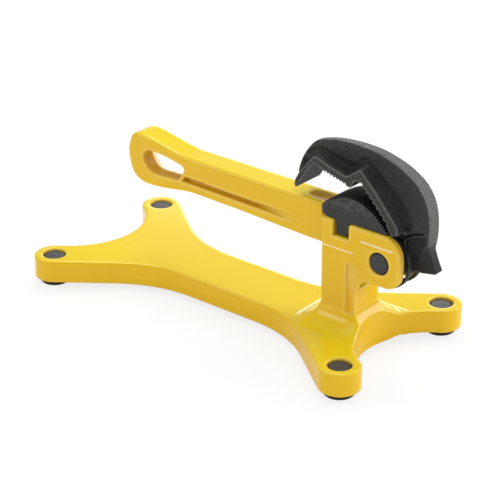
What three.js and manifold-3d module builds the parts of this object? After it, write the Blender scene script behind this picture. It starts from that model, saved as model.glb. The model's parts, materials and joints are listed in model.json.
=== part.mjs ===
// Pipe vise: a cast bench stand whose post and handle carry a sprung hook jaw over a toothed heel jaw.
// Lengths are millimetres and angles are degrees. X runs along the stand from the handle's loop to the
// jaws, Y runs across it and Z points up. Everything is drawn from the middle of the foot pattern with
// the plate's top face at height zero, and the last lines lift the vise onto its feet.

import * as THREE from 'three';
import { mergeVertices } from 'three/addons/utils/BufferGeometryUtils.js';
import Module from 'manifold-3d';

const wasm = await Module();
wasm.setup();

// Fits shared by all pieces
const clearance = 0.3;
const overrun = 2;

// Plate of the casting
const footSpacingLong = 300;
const footSpacingWide = 132.9;
const padRadius = 16.8;
const plateThickness = 19.4;
const plateTopRound = 2.4;
const plateBottomRound = 1.5;
const waistWidth = 53;
const waistRadius = 105;
const legAngle = 37.5;
const endHollowDepth = 20.5;
const reliefWall = 8;
const reliefDepth = 8;
const reliefLength = 186;
const reliefRib = 8;
const reliefCorner = 5;

// Post and head of the casting
const headWidth = 34.8;
const postSetback = 4.9;
const headLengthShare = 0.633;
const flareRadius = 12.5;
const flareEndReach = 7.5;
const flareEndHeight = 20;
const castingRound = 1.9;
const pinOverhang = 22.8;
const pinHeight = 63.7;
const headRise = 23.6;
const cornerRadius = 17;
const noseReach = 19.1;
const noseDrop = 19.6;
const chinRadius = 13;
const headFillet = 15.9;
const pocketDepth = 2;
const pocketWidth = 15.6;
const pocketHeight = 45;
const pocketSide = 7.2;
const pocketFoot = 14.6;
const pocketRound = 3;

// Slots in the head
const slotWidth = 21.6;
const slotRadius = 24.5;
const slotFloorRadius = 38.65;
const slotFloorAngle = 150;
const tenonWall = 4.3;
const tenonSlotWidth = 15.4;
const tenonSlotDepth = 12.8;

// Handle
const handleLength = 206.8;
const handleWidth = 24;
const handleDepth = 33.7;
const handleDrop = 1.6;
const handleRound = 3;
const grooveDepth = 7;
const scoopLength = 24;
const scoopWidth = 15;
const scoopDepth = 4;
const scoopSetback = 14;

// Jaws
const jawReach = 86.1;
const jawRise = 63.1;
const jawSeatShare = 0.275;
const jawWidth = 30;
const heelToothPitch = 2.4;
const heelToothDepth = 1.3;
const hookToothPitch = 5.8;
const hookToothDepth = 1.7;
const tenonGapLeft = 1.9;
const tenonGapRight = 1;
const tenonGapFloor = 1.8;
const tenonTaper = 1.2;
const tenonCorner = 2.5;
const bandTipWidth = 5.8;
const bandTailWidth = 14.2;
const webWidth = 7.2;
const tabWidth = 9;
const hubRadius = 16;

// Pivot hardware
const pinRadius = 8;
const pinHeadRadius = 8.75;
const pinHeadLength = 5;
const pinTail = 5;
const bushWall = 2;
const washerWidth = 4.7;
const washerThickness = 1.6;
const circlipWidth = 3;
const circlipThickness = 1.2;
const circlipGrooveDepth = 0.9;

// Return springs
const wireDiameter = 2.2;
const springRoom = 2;
const springWebGap = 0.6;
const springTurns = 1;

// Heel screw
const heelScrewRadius = 3;
const heelScrewHeadRadius = 4.5;
const heelScrewHeadLength = 3.5;
const heelScrewGrip = 9;
const heelScrewHexRadius = 2.3;
const heelScrewHexDepth = 2;

// Feet and their fasteners
const footRadius = 12.5;
const footHeight = 5.4;
const footRound = 1.2;
const discRadius = 8;
const discThickness = 1.5;
const studRadius = 3;
const counterboreRadius = 9.6;
const counterboreDepth = 12;
const counterboreRim = 1.2;
const footWasherRadius = 7.5;
const footWasherThickness = 1.2;
const nutAcrossFlats = 10;
const nutHeight = 3.2;
const studTip = 1;
const plugWall = 2;
const plugHeight = 4;
const plugCap = 1.6;
const plugSink = 1.5;

// How finely round stretches are drawn
const roundSteps = 3;
const arcSteps = 8;
const turnSteps = 32;
const smallTurnSteps = 24;
const curlSteps = 8;
const wireSides = 5;

// Places worked out from the sizes
const footX = footSpacingLong / 2;
const footY = footSpacingWide / 2;
const postRight = footX - endHollowDepth - postSetback;
const pinX = postRight + pinOverhang;
const postLeft = pinX - headLengthShare * jawReach;
const headBottom = pinHeight - noseDrop;
const headTop = pinHeight + headRise;
const handleFloor = pinHeight - handleDrop;
const tenonSlotRight = pinX - slotRadius - tenonWall;
const tenonSlotLeft = tenonSlotRight - tenonSlotWidth;
const tenonSlotFloor = headTop - tenonSlotDepth;
const heelSeat = headTop + clearance;
const heelScrewHeight = (tenonSlotFloor + tenonGapFloor + headTop) / 2;
const boreRadius = pinRadius + clearance;
const bushRadius = boreRadius + bushWall;
const coilRadius = slotRadius - springRoom - wireDiameter / 2;

// Outlines of the jaws as shares of their reach and of their height from the pin
const hookBackShares = [
  [-1.032, 0.527], [-1.029, 0.568], [-1.004, 0.649], [-0.964, 0.731], [-0.91, 0.806], [-0.843, 0.876],
  [-0.768, 0.91], [-0.667, 0.936], [-0.563, 0.954], [-0.462, 0.961], [-0.365, 0.964], [-0.27, 0.96],
  [-0.174, 0.951], [-0.081, 0.933], [0.012, 0.907], [0.105, 0.874], [0.194, 0.828], [0.279, 0.771],
  [0.347, 0.694], [0.395, 0.605], [0.42, 0.506], [0.429, 0.406], [0.427, 0.309], [0.416, 0.215],
];
const hookTabShares = [[0.428, 0.175], [0.449, 0.124], [0.471, 0.071], [0.5, 0.014], [0.502, 0.002], [0.49, -0.006]];
const hookTabRootShares = [[0.339, -0.033], [0.3, 0.08], [0.38, 0.2]];
const hookRimShares = [[0.376, 0.182], [0.382, 0.231], [0.389, 0.268], [0.39, 0.316]];
const hookLedgeShares = [[0.373, 0.348], [0.324, 0.328], [0.138, 0.254]];
const hookLipShares = [
  [0.245, 0.368], [0.23, 0.442], [0.181, 0.544], [0.029, 0.655], [-0.088, 0.738], [-0.206, 0.831],
  [-0.253, 0.866], [-0.299, 0.859], [-0.345, 0.831], [-0.39, 0.78], [-0.555, 0.808], [-0.686, 0.831],
  [-0.769, 0.838], [-0.865, 0.797], [-0.936, 0.735],
];
const hookBeakShares = [[-0.965, 0.62], [-0.975, 0.51]];
const hookWebShares = [
  [-0.945, 0.54], [-0.94, 0.66], [-0.86, 0.8], [-0.74, 0.9], [-0.44, 0.95], [-0.1, 0.92], [0.17, 0.79],
  [0.33, 0.62], [0.4, 0.44], [0.42, 0.3], [0.41, 0.2], [0.44, 0.1], [0.475, -0.006], [0.339, -0.033],
  [0.208, -0.072], [0, 0], [0.1, 0.277], [0.12, 0.345], [-0.2, 0.7], [-0.28, 0.74], [-0.41, 0.67],
  [-0.7, 0.76], [-0.84, 0.64],
];
const flangeBackShares = [
  [0.168, 0.303], [0.164, 0.367], [0.111, 0.436], [-0.069, 0.637], [-0.249, 0.809], [-0.322, 0.755],
  [-0.394, 0.705], [-0.573, 0.748], [-0.7, 0.792], [-0.758, 0.794], [-0.839, 0.703], [-0.919, 0.598],
  [-0.955, 0.536], [-0.967, 0.482],
];
const beakTipShare = [-0.944, 0.449];
const gripApexShare = [-0.756, 0.716];
const gripEndShare = [-0.376, 0.615];
const notchShares = [[-0.353, 0.608], [-0.329, 0.63], [-0.312, 0.679], [-0.26, 0.693]];
const biteStartShare = [-0.236, 0.668];
const biteEndShare = [0.07, 0.345];
const flangeEndShare = [0.1, 0.28];
const heelCrownShares = [
  [-0.631, 0.41], [-0.509, 0.476], [-0.401, 0.513], [-0.324, 0.518], [-0.237, 0.503], [-0.15, 0.469],
  [-0.073, 0.424], [-0.005, 0.367], [0.073, 0.29],
];
const heelToeShares = [[-0.652, 0.369], [-0.648, 0.3]];
const heelToeFootShare = -0.6;

// Outlines of the handle as shares of its length back from the post and of its depth
const handleTopShares = [
  [0.691, 1], [0.722, 1.015], [0.749, 1.033], [0.768, 1.05], [0.822, 1.116], [0.875, 1.181], [0.928, 1.231],
  [0.959, 1.208], [0.985, 1.065], [1, 0.724], [0.993, 0.407], [0.976, 0.154], [0.946, 0.009], [0.904, -0.056],
];
const handleFloorShares = [
  [0.826, -0.021], [0.746, 0.05], [0.691, 0.104], [0.614, 0.107], [0.512, 0.092], [0.435, 0.086],
  [0.314, 0.056], [0.116, 0.009],
];
const loopHoleShares = [
  [0.917, 0.611], [0.913, 0.727], [0.9, 0.825], [0.878, 0.865], [0.856, 0.86], [0.811, 0.849], [0.767, 0.801],
  [0.72, 0.742], [0.706, 0.697], [0.705, 0.591], [0.73, 0.377], [0.743, 0.341], [0.8, 0.323], [0.868, 0.32],
  [0.898, 0.421],
];
const loopFlareBackShare = 1.175;
const loopFlareDownShare = 1.3;
const grooveShares = [
  [0.698, 0.484], [0.575, 0.478], [0.391, 0.445], [0.294, 0.445], [0.048, 0.42], [0.048, 0.252],
  [0.145, 0.267], [0.241, 0.3], [0.449, 0.32], [0.708, 0.344],
];
const grooveFadeShare = 0.29;

/** Turns closed geometry into a solid that can be joined and cut. */
function solid(geometry) {
  const bare = geometry.index ? geometry.toNonIndexed() : geometry.clone();
  bare.deleteAttribute('normal');
  bare.deleteAttribute('uv');
  const merged = mergeVertices(bare);
  const corners = Array.from(merged.index.array);
  const triangles = [];
  for (let i = 0; i < corners.length; i += 3) {
    const [a, b, c] = corners.slice(i, i + 3);
    if (a !== b && b !== c && c !== a) triangles.push(a, b, c);
  }
  return new wasm.Manifold(new wasm.Mesh({
    numProp: 3,
    vertProperties: new Float32Array(merged.attributes.position.array),
    triVerts: new Uint32Array(triangles),
  }));
}

/** Turns a solid back into geometry for a mesh. */
function geometryOf(body) {
  const mesh = body.getMesh();
  const geometry = new THREE.BufferGeometry();
  geometry.setAttribute('position', new THREE.BufferAttribute(mesh.vertProperties, mesh.numProp));
  geometry.setIndex(new THREE.BufferAttribute(mesh.triVerts, 1));
  geometry.computeVertexNormals();
  return geometry;
}

/** Points along an arc about a centre, with both ends included. */
function arc([u, v], radius, from, to, steps) {
  return Array.from({ length: steps + 1 }, (_, i) => {
    const angle = THREE.MathUtils.degToRad(from + ((to - from) * i) / steps);
    return [u + radius * Math.cos(angle), v + radius * Math.sin(angle)];
  });
}

/** Points evenly spaced along a smooth curve through the given places. */
function smooth(places, steps) {
  const curve = new THREE.SplineCurve(places.map(([u, v]) => new THREE.Vector2(u, v)));
  return curve.getSpacedPoints(steps).map((point) => [point.x, point.y]);
}

function shapeOf(points) {
  return new THREE.Shape(points.map(([u, v]) => new THREE.Vector2(u, v)));
}

/** Slab of a side outline, drawn in X and Z and centred on the middle plane, with edges rounded by round. */
function slab(points, width, round = 0, holes = []) {
  const shape = shapeOf(points);
  shape.holes = holes.map((hole) => shapeOf(hole));
  const geometry = new THREE.ExtrudeGeometry(shape, {
    depth: width - 2 * round,
    bevelEnabled: round > 0,
    bevelThickness: round,
    bevelSize: round,
    bevelOffset: -round,
    bevelSegments: roundSteps,
  });
  geometry.translate(0, 0, round - width / 2);
  geometry.rotateX(Math.PI / 2);
  return geometry;
}

/** Slab of a side outline whose width grows evenly from the outline's left end to its right end. */
function taperedSlab(points, leftWidth, rightWidth) {
  const [left, right] = [Math.min, Math.max].map((pick) => pick(...points.map(([x]) => x)));
  const [low, high] = [Math.min, Math.max].map((pick) => pick(...points.map(([, z]) => z)));
  const plan = [
    [left, -leftWidth / 2],
    [right, -rightWidth / 2],
    [right, rightWidth / 2],
    [left, leftWidth / 2],
  ];
  const blank = solid(stack([{ z: low - overrun, points: plan }, { z: high + overrun, points: plan }]));
  return solid(slab(points, Math.max(leftWidth, rightWidth) + overrun)).intersect(blank);
}

/** Body through a stack of outlines with equal numbers of points, each at its own height. */
function stack(levels) {
  const count = levels[0].points.length;
  const positions = levels.flatMap(({ z, points }) => points.flatMap(([x, y]) => [x, y, z]));
  const index = [];
  for (let level = 0; level + 1 < levels.length; level += 1) {
    for (let i = 0; i < count; i += 1) {
      const a = level * count + i;
      const b = level * count + ((i + 1) % count);
      index.push(a, b, b + count, a, b + count, a + count);
    }
  }
  const contour = levels[0].points.map(([x, y]) => new THREE.Vector2(x, y));
  const top = (levels.length - 1) * count;
  THREE.ShapeUtils.triangulateShape(contour, []).forEach(([a, b, c]) => {
    index.push(c, b, a, top + a, top + b, top + c);
  });
  const geometry = new THREE.BufferGeometry();
  geometry.setAttribute('position', new THREE.Float32BufferAttribute(positions, 3));
  geometry.setIndex(index);
  return geometry;
}

/** Turned piece about the Y axis, from a profile of radius and place along the axis. */
function turned(profile, steps = turnSteps) {
  return new THREE.LatheGeometry(profile.map(([radius, along]) => new THREE.Vector2(radius, along)), steps);
}

/** Turned piece about the Z axis. */
function turnedUpright(profile, steps = turnSteps) {
  return turned(profile, steps).rotateX(Math.PI / 2);
}

/** Plain bar about the Y axis that serves as a cut. */
function bar(radius, from, to, steps = turnSteps) {
  return turned([[0, from], [radius, from], [radius, to], [0, to]], steps);
}

/** Rectangle with round corners in plan, corner by corner, counterclockwise. */
function roundedRectangle(left, right, half, corner) {
  const round = Math.min(corner, (right - left) / 2, half);
  const centres = [[right - round, half - round], [left + round, half - round],
    [left + round, round - half], [right - round, round - half]];
  return centres.flatMap((centre, i) => arc(centre, round, i * 90, (i + 1) * 90, roundSteps));
}

/** Row of teeth from one place to another, with the roots depth behind the line on its left side. */
function teeth([startU, startV], [endU, endV], pitch, depth) {
  const length = Math.hypot(endU - startU, endV - startV);
  const count = Math.max(1, Math.round(length / pitch));
  const along = [(endU - startU) / length, (endV - startV) / length];
  const tipPlace = 0.45;
  return Array.from({ length: count }, (_, i) => {
    const root = (i / count) * length;
    const tip = ((i + tipPlace) / count) * length;
    return [
      [startU + along[0] * root - along[1] * depth, startV + along[1] * root + along[0] * depth],
      [startU + along[0] * tip, startV + along[1] * tip],
    ];
  }).flat();
}

/** Outline of the plate, drawn in by inset, counterclockwise from above. */
function plateOutline(inset) {
  const hollowRadius = (footY ** 2 + endHollowDepth ** 2 - padRadius ** 2) / (2 * (padRadius + endHollowDepth));
  const hollowX = footX - endHollowDepth + hollowRadius;
  const hollowAngle = THREE.MathUtils.radToDeg(Math.atan2(footY, footX - hollowX));
  const lean = THREE.MathUtils.degToRad(legAngle);
  const halfWaist = waistWidth / 2;
  const legX = footX - padRadius * Math.sin(lean);
  const legY = footY + padRadius * Math.cos(lean);
  const legCrossing = legX - (legY - halfWaist) / Math.tan(lean);
  const bend = Math.min(waistRadius, legCrossing / Math.tan(lean / 2));
  const waistX = legCrossing - bend * Math.tan(lean / 2);
  const quarter = [
    ...arc([hollowX, 0], hollowRadius + inset, 180, hollowAngle, arcSteps / 2),
    ...arc([footX, footY], padRadius - inset, hollowAngle - 180, 90 + legAngle, 2 * arcSteps).slice(1),
    ...arc([waistX, halfWaist + bend], bend + inset, legAngle - 90, -90, arcSteps),
  ];
  const left = quarter.map(([x, y]) => [-x, y]).reverse().slice(0, -1);
  const turn = (points) => points.map(([x, y]) => [-x, -y]);
  return [...quarter, ...left, ...turn(quarter), ...turn(left)];
}

/** Plate with a small round along its bottom edge and a larger one along its top edge. */
function plateBody() {
  const quarterTurn = Array.from({ length: roundSteps + 1 }, (_, i) => (i / roundSteps) * (Math.PI / 2));
  const bottom = quarterTurn.map((angle) => ({
    z: -plateThickness + plateBottomRound * (1 - Math.cos(angle)),
    points: plateOutline(plateBottomRound * (1 - Math.sin(angle))),
  }));
  const top = quarterTurn.map((angle) => ({
    z: -plateTopRound * (1 - Math.sin(angle)),
    points: plateOutline(plateTopRound * (1 - Math.cos(angle))),
  }));
  return solid(stack([...bottom, ...top]));
}

/** Hollow under the middle of the plate, in three bays with ribs left between them. */
function reliefCut() {
  const half = waistWidth / 2 - reliefWall;
  const bay = (reliefLength - 2 * reliefRib) / 3;
  const bays = [-1, 0, 1].map((place) => {
    const middle = place * (bay + reliefRib);
    const outline = (inset) => roundedRectangle(
      middle - bay / 2 + inset,
      middle + bay / 2 - inset,
      half - inset,
      reliefCorner,
    );
    const floor = -plateThickness;
    return solid(stack([
      { z: floor - overrun, points: outline(0) },
      { z: floor + reliefDepth, points: outline(plateBottomRound / 2) },
    ]));
  });
  return wasm.Manifold.union(bays);
}

/** Foot of the post, which flares out over the plate and stays within the plate's outline. */
function postFlare() {
  const steps = 2 * roundSteps;
  const reach = (share, radius) => radius * (1 - Math.sqrt(1 - (1 - share) ** 2));
  const half = headWidth / 2;
  const levels = Array.from({ length: steps + 1 }, (_, i) => {
    const share = i / steps;
    const spread = reach(share, flareRadius) + (1 - share) * castingRound;
    const end = reach(share, flareEndReach);
    return {
      z: share * Math.max(flareRadius, flareEndHeight),
      points: roundedRectangle(
        postLeft - spread,
        postRight + end,
        half + spread - castingRound,
        castingRound + spread,
      ),
    };
  });
  const foot = { ...levels[0], z: -plateThickness / 2 };
  const keep = solid(stack([
    { z: -plateThickness, points: plateOutline(plateTopRound / 2) },
    { z: headTop, points: plateOutline(plateTopRound / 2) },
  ]));
  return solid(stack([foot, ...levels])).intersect(keep);
}

/** Side outline of the post and head. */
function headOutline() {
  const fillet = Math.min(headFillet, pinOverhang);
  const front = pinX + noseReach;
  return [
    [postLeft, -plateThickness / 2],
    [postRight, -plateThickness / 2],
    ...arc([postRight + fillet, headBottom - fillet], fillet, 180, 90, arcSteps / 2),
    ...arc([front - chinRadius, headBottom + chinRadius], chinRadius, -90, 0, arcSteps / 2),
    ...arc([front - cornerRadius, headTop - cornerRadius], cornerRadius, 0, 90, arcSteps / 2),
    [postLeft, headTop],
  ];
}

/** Slot between the cheeks, in which the hook's hub and the springs turn. */
function clevisCut() {
  const exit = -THREE.MathUtils.radToDeg(Math.acos(-pinOverhang / slotFloorRadius));
  const far = pinX + slotFloorRadius;
  const floorArc = arc([pinX, pinHeight], slotFloorRadius, exit, -slotFloorAngle, arcSteps / 2);
  return solid(slab([
    [far, floorArc[0][1]],
    ...floorArc,
    [pinX - slotRadius, pinHeight],
    [pinX - slotRadius, headTop + overrun],
    [far, headTop + overrun],
  ], slotWidth));
}

/** Slot across the head's top for the heel's tenon. */
function tenonCut() {
  return solid(slab([
    [tenonSlotLeft, tenonSlotFloor],
    [tenonSlotRight, tenonSlotFloor],
    [tenonSlotRight, headTop + overrun],
    [tenonSlotLeft, headTop + overrun],
  ], headWidth + 2 * overrun));
}

/** Shallow pockets in both faces of the post. */
function pocketCuts() {
  const right = postRight - pocketSide;
  const outline = roundedRectangle(right - pocketWidth, right, pocketHeight / 2, pocketRound)
    .map(([x, z]) => [x, z + pocketFoot + pocketHeight / 2]);
  return [-1, 1].map((side) => solid(slab(outline, 2 * pocketDepth)).translate([0, (side * headWidth) / 2, 0]));
}

/** Bores for the pin: wide through the near cheek for its head, and narrow through both cheeks. */
function pinBores() {
  const face = headWidth / 2;
  const narrow = solid(bar(boreRadius, -face - overrun, face + overrun));
  const wide = solid(bar(pinHeadRadius + clearance, -face - overrun, -face + pinHeadLength + clearance));
  return narrow.add(wide).translate([pinX, 0, pinHeight]);
}

/** Bores in the four pads for the feet's studs, nuts and plugs. */
function padBores() {
  const profile = [
    [0, -plateThickness - overrun],
    [studRadius + clearance, -plateThickness - overrun],
    [studRadius + clearance, -counterboreDepth],
    [counterboreRadius, -counterboreDepth],
    [counterboreRadius, -counterboreRim],
    [counterboreRadius + counterboreRim, 0],
    [counterboreRadius + counterboreRim, overrun],
    [0, overrun],
  ];
  return [[-1, -1], [-1, 1], [1, -1], [1, 1]].map(([x, y]) => (
    solid(turnedUpright(profile)).translate([x * footX, y * footY, 0])
  ));
}

/** Hole for the heel's screw through the wall between the two slots. */
function heelScrewHole() {
  const hole = bar(heelScrewRadius + clearance, 0, tenonWall + 2 * clearance + overrun, smallTurnSteps);
  return solid(hole.rotateZ(-Math.PI / 2)).translate([tenonSlotRight - overrun / 2, 0, heelScrewHeight]);
}

function frameCasting() {
  const head = solid(slab(headOutline(), headWidth, castingRound));
  const cuts = [
    reliefCut(),
    clevisCut(),
    tenonCut(),
    pinBores(),
    heelScrewHole(),
    ...pocketCuts(),
    ...padBores(),
  ];
  const body = wasm.Manifold.union([plateBody(), postFlare(), head]);
  return geometryOf(body.subtract(wasm.Manifold.union(cuts)));
}

/** Place on the handle from shares of its length back from the post and of its depth. */
function handlePlace([back, up]) {
  return [postLeft - back * handleLength, handleFloor + up * handleDepth];
}

/** Hole in the handle's loop, straight through the near half and flared back and down to the far face. */
function loopHoleCut() {
  const outline = loopHoleShares.map(handlePlace).reverse();
  const right = Math.max(...outline.map(([x]) => x));
  const top = Math.max(...outline.map(([, z]) => z));
  const wide = outline.map(([x, z]) => [
    right + (x - right) * loopFlareBackShare,
    top + (z - top) * loopFlareDownShare,
  ]);
  const flared = stack([{ z: 0, points: outline }, { z: handleWidth / 2 + clearance, points: wide }]);
  flared.rotateX(Math.PI / 2);
  flared.scale(1, -1, 1);
  const corners = flared.index.array;
  for (let i = 0; i < corners.length; i += 3) [corners[i], corners[i + 1]] = [corners[i + 1], corners[i]];
  return solid(flared);
}

/** Grooves along the handle's sides, deep from the loop to the middle and running out towards the post. */
function grooveCuts() {
  const outline = grooveShares.map(handlePlace);
  const face = handleWidth / 2;
  const left = Math.min(...outline.map(([x]) => x));
  const right = Math.max(...outline.map(([x]) => x));
  const [fade] = handlePlace([grooveFadeShare, 0]);
  return [-1, 1].map((side) => {
    const plan = [
      [left, face - grooveDepth],
      [fade, face - grooveDepth],
      [right, face],
      [right, face + overrun],
      [left, face + overrun],
    ].map(([x, y]) => [x, side * y]);
    if (side < 0) plan.reverse();
    const depthCut = solid(stack([
      { z: handleFloor - overrun, points: plan },
      { z: handleFloor + handleDepth + overrun, points: plan },
    ]));
    return depthCut.intersect(solid(slab(outline, handleWidth + 2 * overrun)));
  });
}

/** Scooped dip in the handle's top in front of the heel. */
function scoopCut() {
  const dip = new THREE.SphereGeometry(1, smallTurnSteps / 2, arcSteps);
  dip.scale(scoopLength / 2, scoopWidth / 2, scoopDepth);
  return solid(dip).translate([
    postLeft - scoopSetback - scoopLength / 4,
    0,
    handleFloor + handleDepth + scoopDepth / 4,
  ]);
}

function handleCasting() {
  const root = postLeft - clearance;
  const heelToe = pinX + heelToeShares[0][0] * jawReach;
  const notchX = Math.min(heelToe - 2 * clearance, root - clearance);
  const notchFloor = headTop - tenonGapRight;
  const loop = smooth([...handleTopShares, ...handleFloorShares].map(handlePlace), 6 * arcSteps);
  const outline = [
    [root, handleFloor],
    [root, notchFloor],
    [notchX, notchFloor],
    [notchX, handleFloor + handleDepth],
    ...loop,
  ];
  const hole = loopHoleShares.map(handlePlace);
  const body = solid(slab(outline, handleWidth, handleRound, [hole]));
  const cuts = [loopHoleCut(), scoopCut(), ...grooveCuts()];
  return geometryOf(body.subtract(wasm.Manifold.union(cuts)));
}

/** Place on the jaws from the pin. Heights up to the seat follow the head, and those above it the jaws. */
function jawPlace([along, up]) {
  const seat = heelSeat - pinHeight;
  const above = (up - jawSeatShare) / (1 - jawSeatShare);
  return [along * jawReach, up < jawSeatShare ? (up / jawSeatShare) * seat : seat + above * jawRise];
}

/** Heel jaw: a toothed crown over a flat seat, with a tenon that drops into the head. Drawn from the pin. */
function heelJaw() {
  const crown = smooth(heelCrownShares.map(jawPlace), 6 * arcSteps);
  const reach = crown.reduce((sum, place, i) => (
    i ? sum + Math.hypot(place[0] - crown[i - 1][0], place[1] - crown[i - 1][1]) : 0
  ), 0);
  const count = Math.max(1, Math.round(reach / heelToothPitch));
  const roots = smooth(heelCrownShares.map(jawPlace), 2 * count);
  const ridge = roots.map(([u, v], i) => {
    const next = roots[Math.min(i + 1, roots.length - 1)];
    const last = roots[Math.max(i - 1, 0)];
    const step = Math.hypot(next[0] - last[0], next[1] - last[1]);
    const drop = i % 2 ? 0 : heelToothDepth;
    return [u + (drop * (next[1] - last[1])) / step, v - (drop * (next[0] - last[0])) / step];
  });
  const seat = heelSeat - pinHeight;
  const tenonLeft = tenonSlotLeft + tenonGapLeft - pinX;
  const tenonRight = tenonSlotRight - tenonGapRight - pinX;
  const tenonFloor = tenonSlotFloor + tenonGapFloor - pinHeight;
  const outline = [
    ...heelToeShares.map(jawPlace).reverse(),
    ...ridge,
    [ridge[ridge.length - 1][0], seat],
    [tenonRight, seat],
    [tenonRight - tenonTaper, tenonFloor + tenonCorner],
    [tenonRight - tenonTaper - tenonCorner, tenonFloor],
    [tenonLeft + tenonCorner, tenonFloor],
    [tenonLeft, tenonFloor + tenonCorner],
    [tenonLeft, seat],
    [heelToeFootShare * jawReach, seat],
  ];
  const length = heelScrewGrip + tenonSlotWidth;
  const hole = bar(heelScrewRadius + clearance, 0, length, smallTurnSteps).rotateZ(-Math.PI / 2);
  const tip = tenonSlotRight - heelScrewGrip - clearance - pinX;
  return geometryOf(
    solid(slab(outline, jawWidth)).subtract(solid(hole).translate([tip, 0, heelScrewHeight - pinHeight])),
  );
}

/** Socket screw that holds the heel's tenon, lying along X with its head in the slot between the cheeks. */
function heelScrew() {
  const seat = heelScrewGrip + tenonWall + clearance;
  const shank = turned([
    [0, 0],
    [heelScrewRadius, 0],
    [heelScrewRadius, seat],
    [heelScrewHeadRadius, seat],
    [heelScrewHeadRadius, seat + heelScrewHeadLength],
    [0, seat + heelScrewHeadLength],
  ], smallTurnSteps);
  const socket = bar(heelScrewHexRadius, seat + heelScrewHeadLength - heelScrewHexDepth,
    seat + heelScrewHeadLength + overrun, 6);
  const screw = geometryOf(solid(shank).subtract(solid(socket)));
  return screw.rotateZ(-Math.PI / 2);
}

/** Hook jaw, drawn from the pin: toothed flange, curved back band, web, hub and tail tab. */
function hookJaw() {
  const back = smooth(hookBackShares.map(jawPlace), 5 * arcSteps);
  const band = [
    ...back,
    ...[...hookRimShares, ...hookLedgeShares, ...hookLipShares, ...hookBeakShares].map(jawPlace),
  ];
  const tab = [back[back.length - 1], ...[...hookTabShares, ...hookTabRootShares].map(jawPlace)];
  const flange = [
    ...teeth(jawPlace(beakTipShare), jawPlace(gripApexShare), hookToothPitch, hookToothDepth),
    ...teeth(jawPlace(gripApexShare), jawPlace(gripEndShare), hookToothPitch, hookToothDepth),
    ...notchShares.map(jawPlace),
    ...teeth(jawPlace(biteStartShare), jawPlace(biteEndShare), hookToothPitch, hookToothDepth),
    jawPlace(flangeEndShare),
    ...flangeBackShares.map(jawPlace),
  ];
  const hubWidth = slotWidth - 2 * clearance;
  const body = wasm.Manifold.union([
    taperedSlab(band, bandTipWidth, bandTailWidth),
    solid(slab(tab, tabWidth)),
    solid(slab(flange, jawWidth)),
    solid(slab(hookWebShares.map(jawPlace), webWidth)),
    solid(bar(hubRadius, -hubWidth / 2, hubWidth / 2)),
  ]);
  const bore = solid(bar(bushRadius + clearance, -hubWidth, hubWidth));
  return geometryOf(body.subtract(bore));
}

/** Plain bush between the hook's hub and the pin. */
function hookBush() {
  const half = slotWidth / 2 - clearance;
  return turned([[boreRadius, -half], [bushRadius, -half], [bushRadius, half], [boreRadius, half], [boreRadius, -half]]);
}

/** Stepped pin with its head flush in the near cheek and a grooved tail past the far cheek. */
function pivotPin() {
  const face = headWidth / 2;
  const groove = face + clearance + washerThickness + clearance;
  const grooveEnd = groove + circlipThickness + 2 * clearance;
  const tail = face + pinTail;
  return turned([
    [0, -face],
    [pinHeadRadius, -face],
    [pinHeadRadius, -face + pinHeadLength],
    [pinRadius, -face + pinHeadLength],
    [pinRadius, groove],
    [pinRadius - circlipGrooveDepth, groove],
    [pinRadius - circlipGrooveDepth, grooveEnd],
    [pinRadius, grooveEnd],
    [pinRadius, tail],
    [0, tail],
  ]);
}

function ring(inner, outer, from, thickness) {
  return turned([[inner, from], [outer, from], [outer, from + thickness], [inner, from + thickness], [inner, from]]);
}

function pinWasher() {
  return ring(boreRadius, boreRadius + washerWidth, headWidth / 2 + clearance, washerThickness);
}

function pinCirclip() {
  const inner = pinRadius - circlipGrooveDepth + clearance;
  const from = headWidth / 2 + 3 * clearance + washerThickness;
  return ring(inner, inner + circlipWidth, from, circlipThickness);
}

/** Unit direction from the pin square to the line through two places. */
function squareTo([a, b]) {
  const along = new THREE.Vector2(b[0] - a[0], b[1] - a[1]).normalize();
  const normal = new THREE.Vector2(-along.y, along.x);
  const distance = normal.dot(new THREE.Vector2(...a));
  return { normal: normal.multiplyScalar(Math.sign(distance)), distance: Math.abs(distance) };
}

/** Middle line of a return spring: a leg to the hook's ledge, the curls, and a leg to the slot's wall. */
function springPath(side) {
  const ledge = squareTo([hookLedgeShares[2], hookLedgeShares[1]].map(jawPlace));
  const floorEnd = arc([0, 0], slotFloorRadius, -slotFloorAngle, -slotFloorAngle, 1)[0];
  const wall = squareTo([[-slotRadius, 0], floorEnd]);
  const from = Math.atan2(-ledge.normal.x, ledge.normal.y);
  const to = Math.atan2(wall.normal.x, -wall.normal.y);
  const sweep = from - to + springTurns * 2 * Math.PI;
  const steps = Math.round((curlSteps * sweep) / (2 * Math.PI));
  const inner = webWidth / 2 + springWebGap + wireDiameter / 2;
  const outer = slotWidth / 2 - clearance - wireDiameter / 2;
  const curl = Array.from({ length: steps + 1 }, (_, i) => {
    const angle = from - (sweep * i) / steps;
    const y = side * (inner + ((outer - inner) * i) / steps);
    return new THREE.Vector3(coilRadius * Math.cos(angle), y, coilRadius * Math.sin(angle));
  });
  const leg = (start, { normal, distance }) => (
    [1, 0.5].map((share) => {
      const reach = (distance - clearance) * share;
      return start.clone().add(new THREE.Vector3(normal.x * reach, 0, normal.y * reach));
    })
  );
  return [...leg(curl[0], ledge), ...curl, ...leg(curl[curl.length - 1], wall).reverse()];
}

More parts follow.
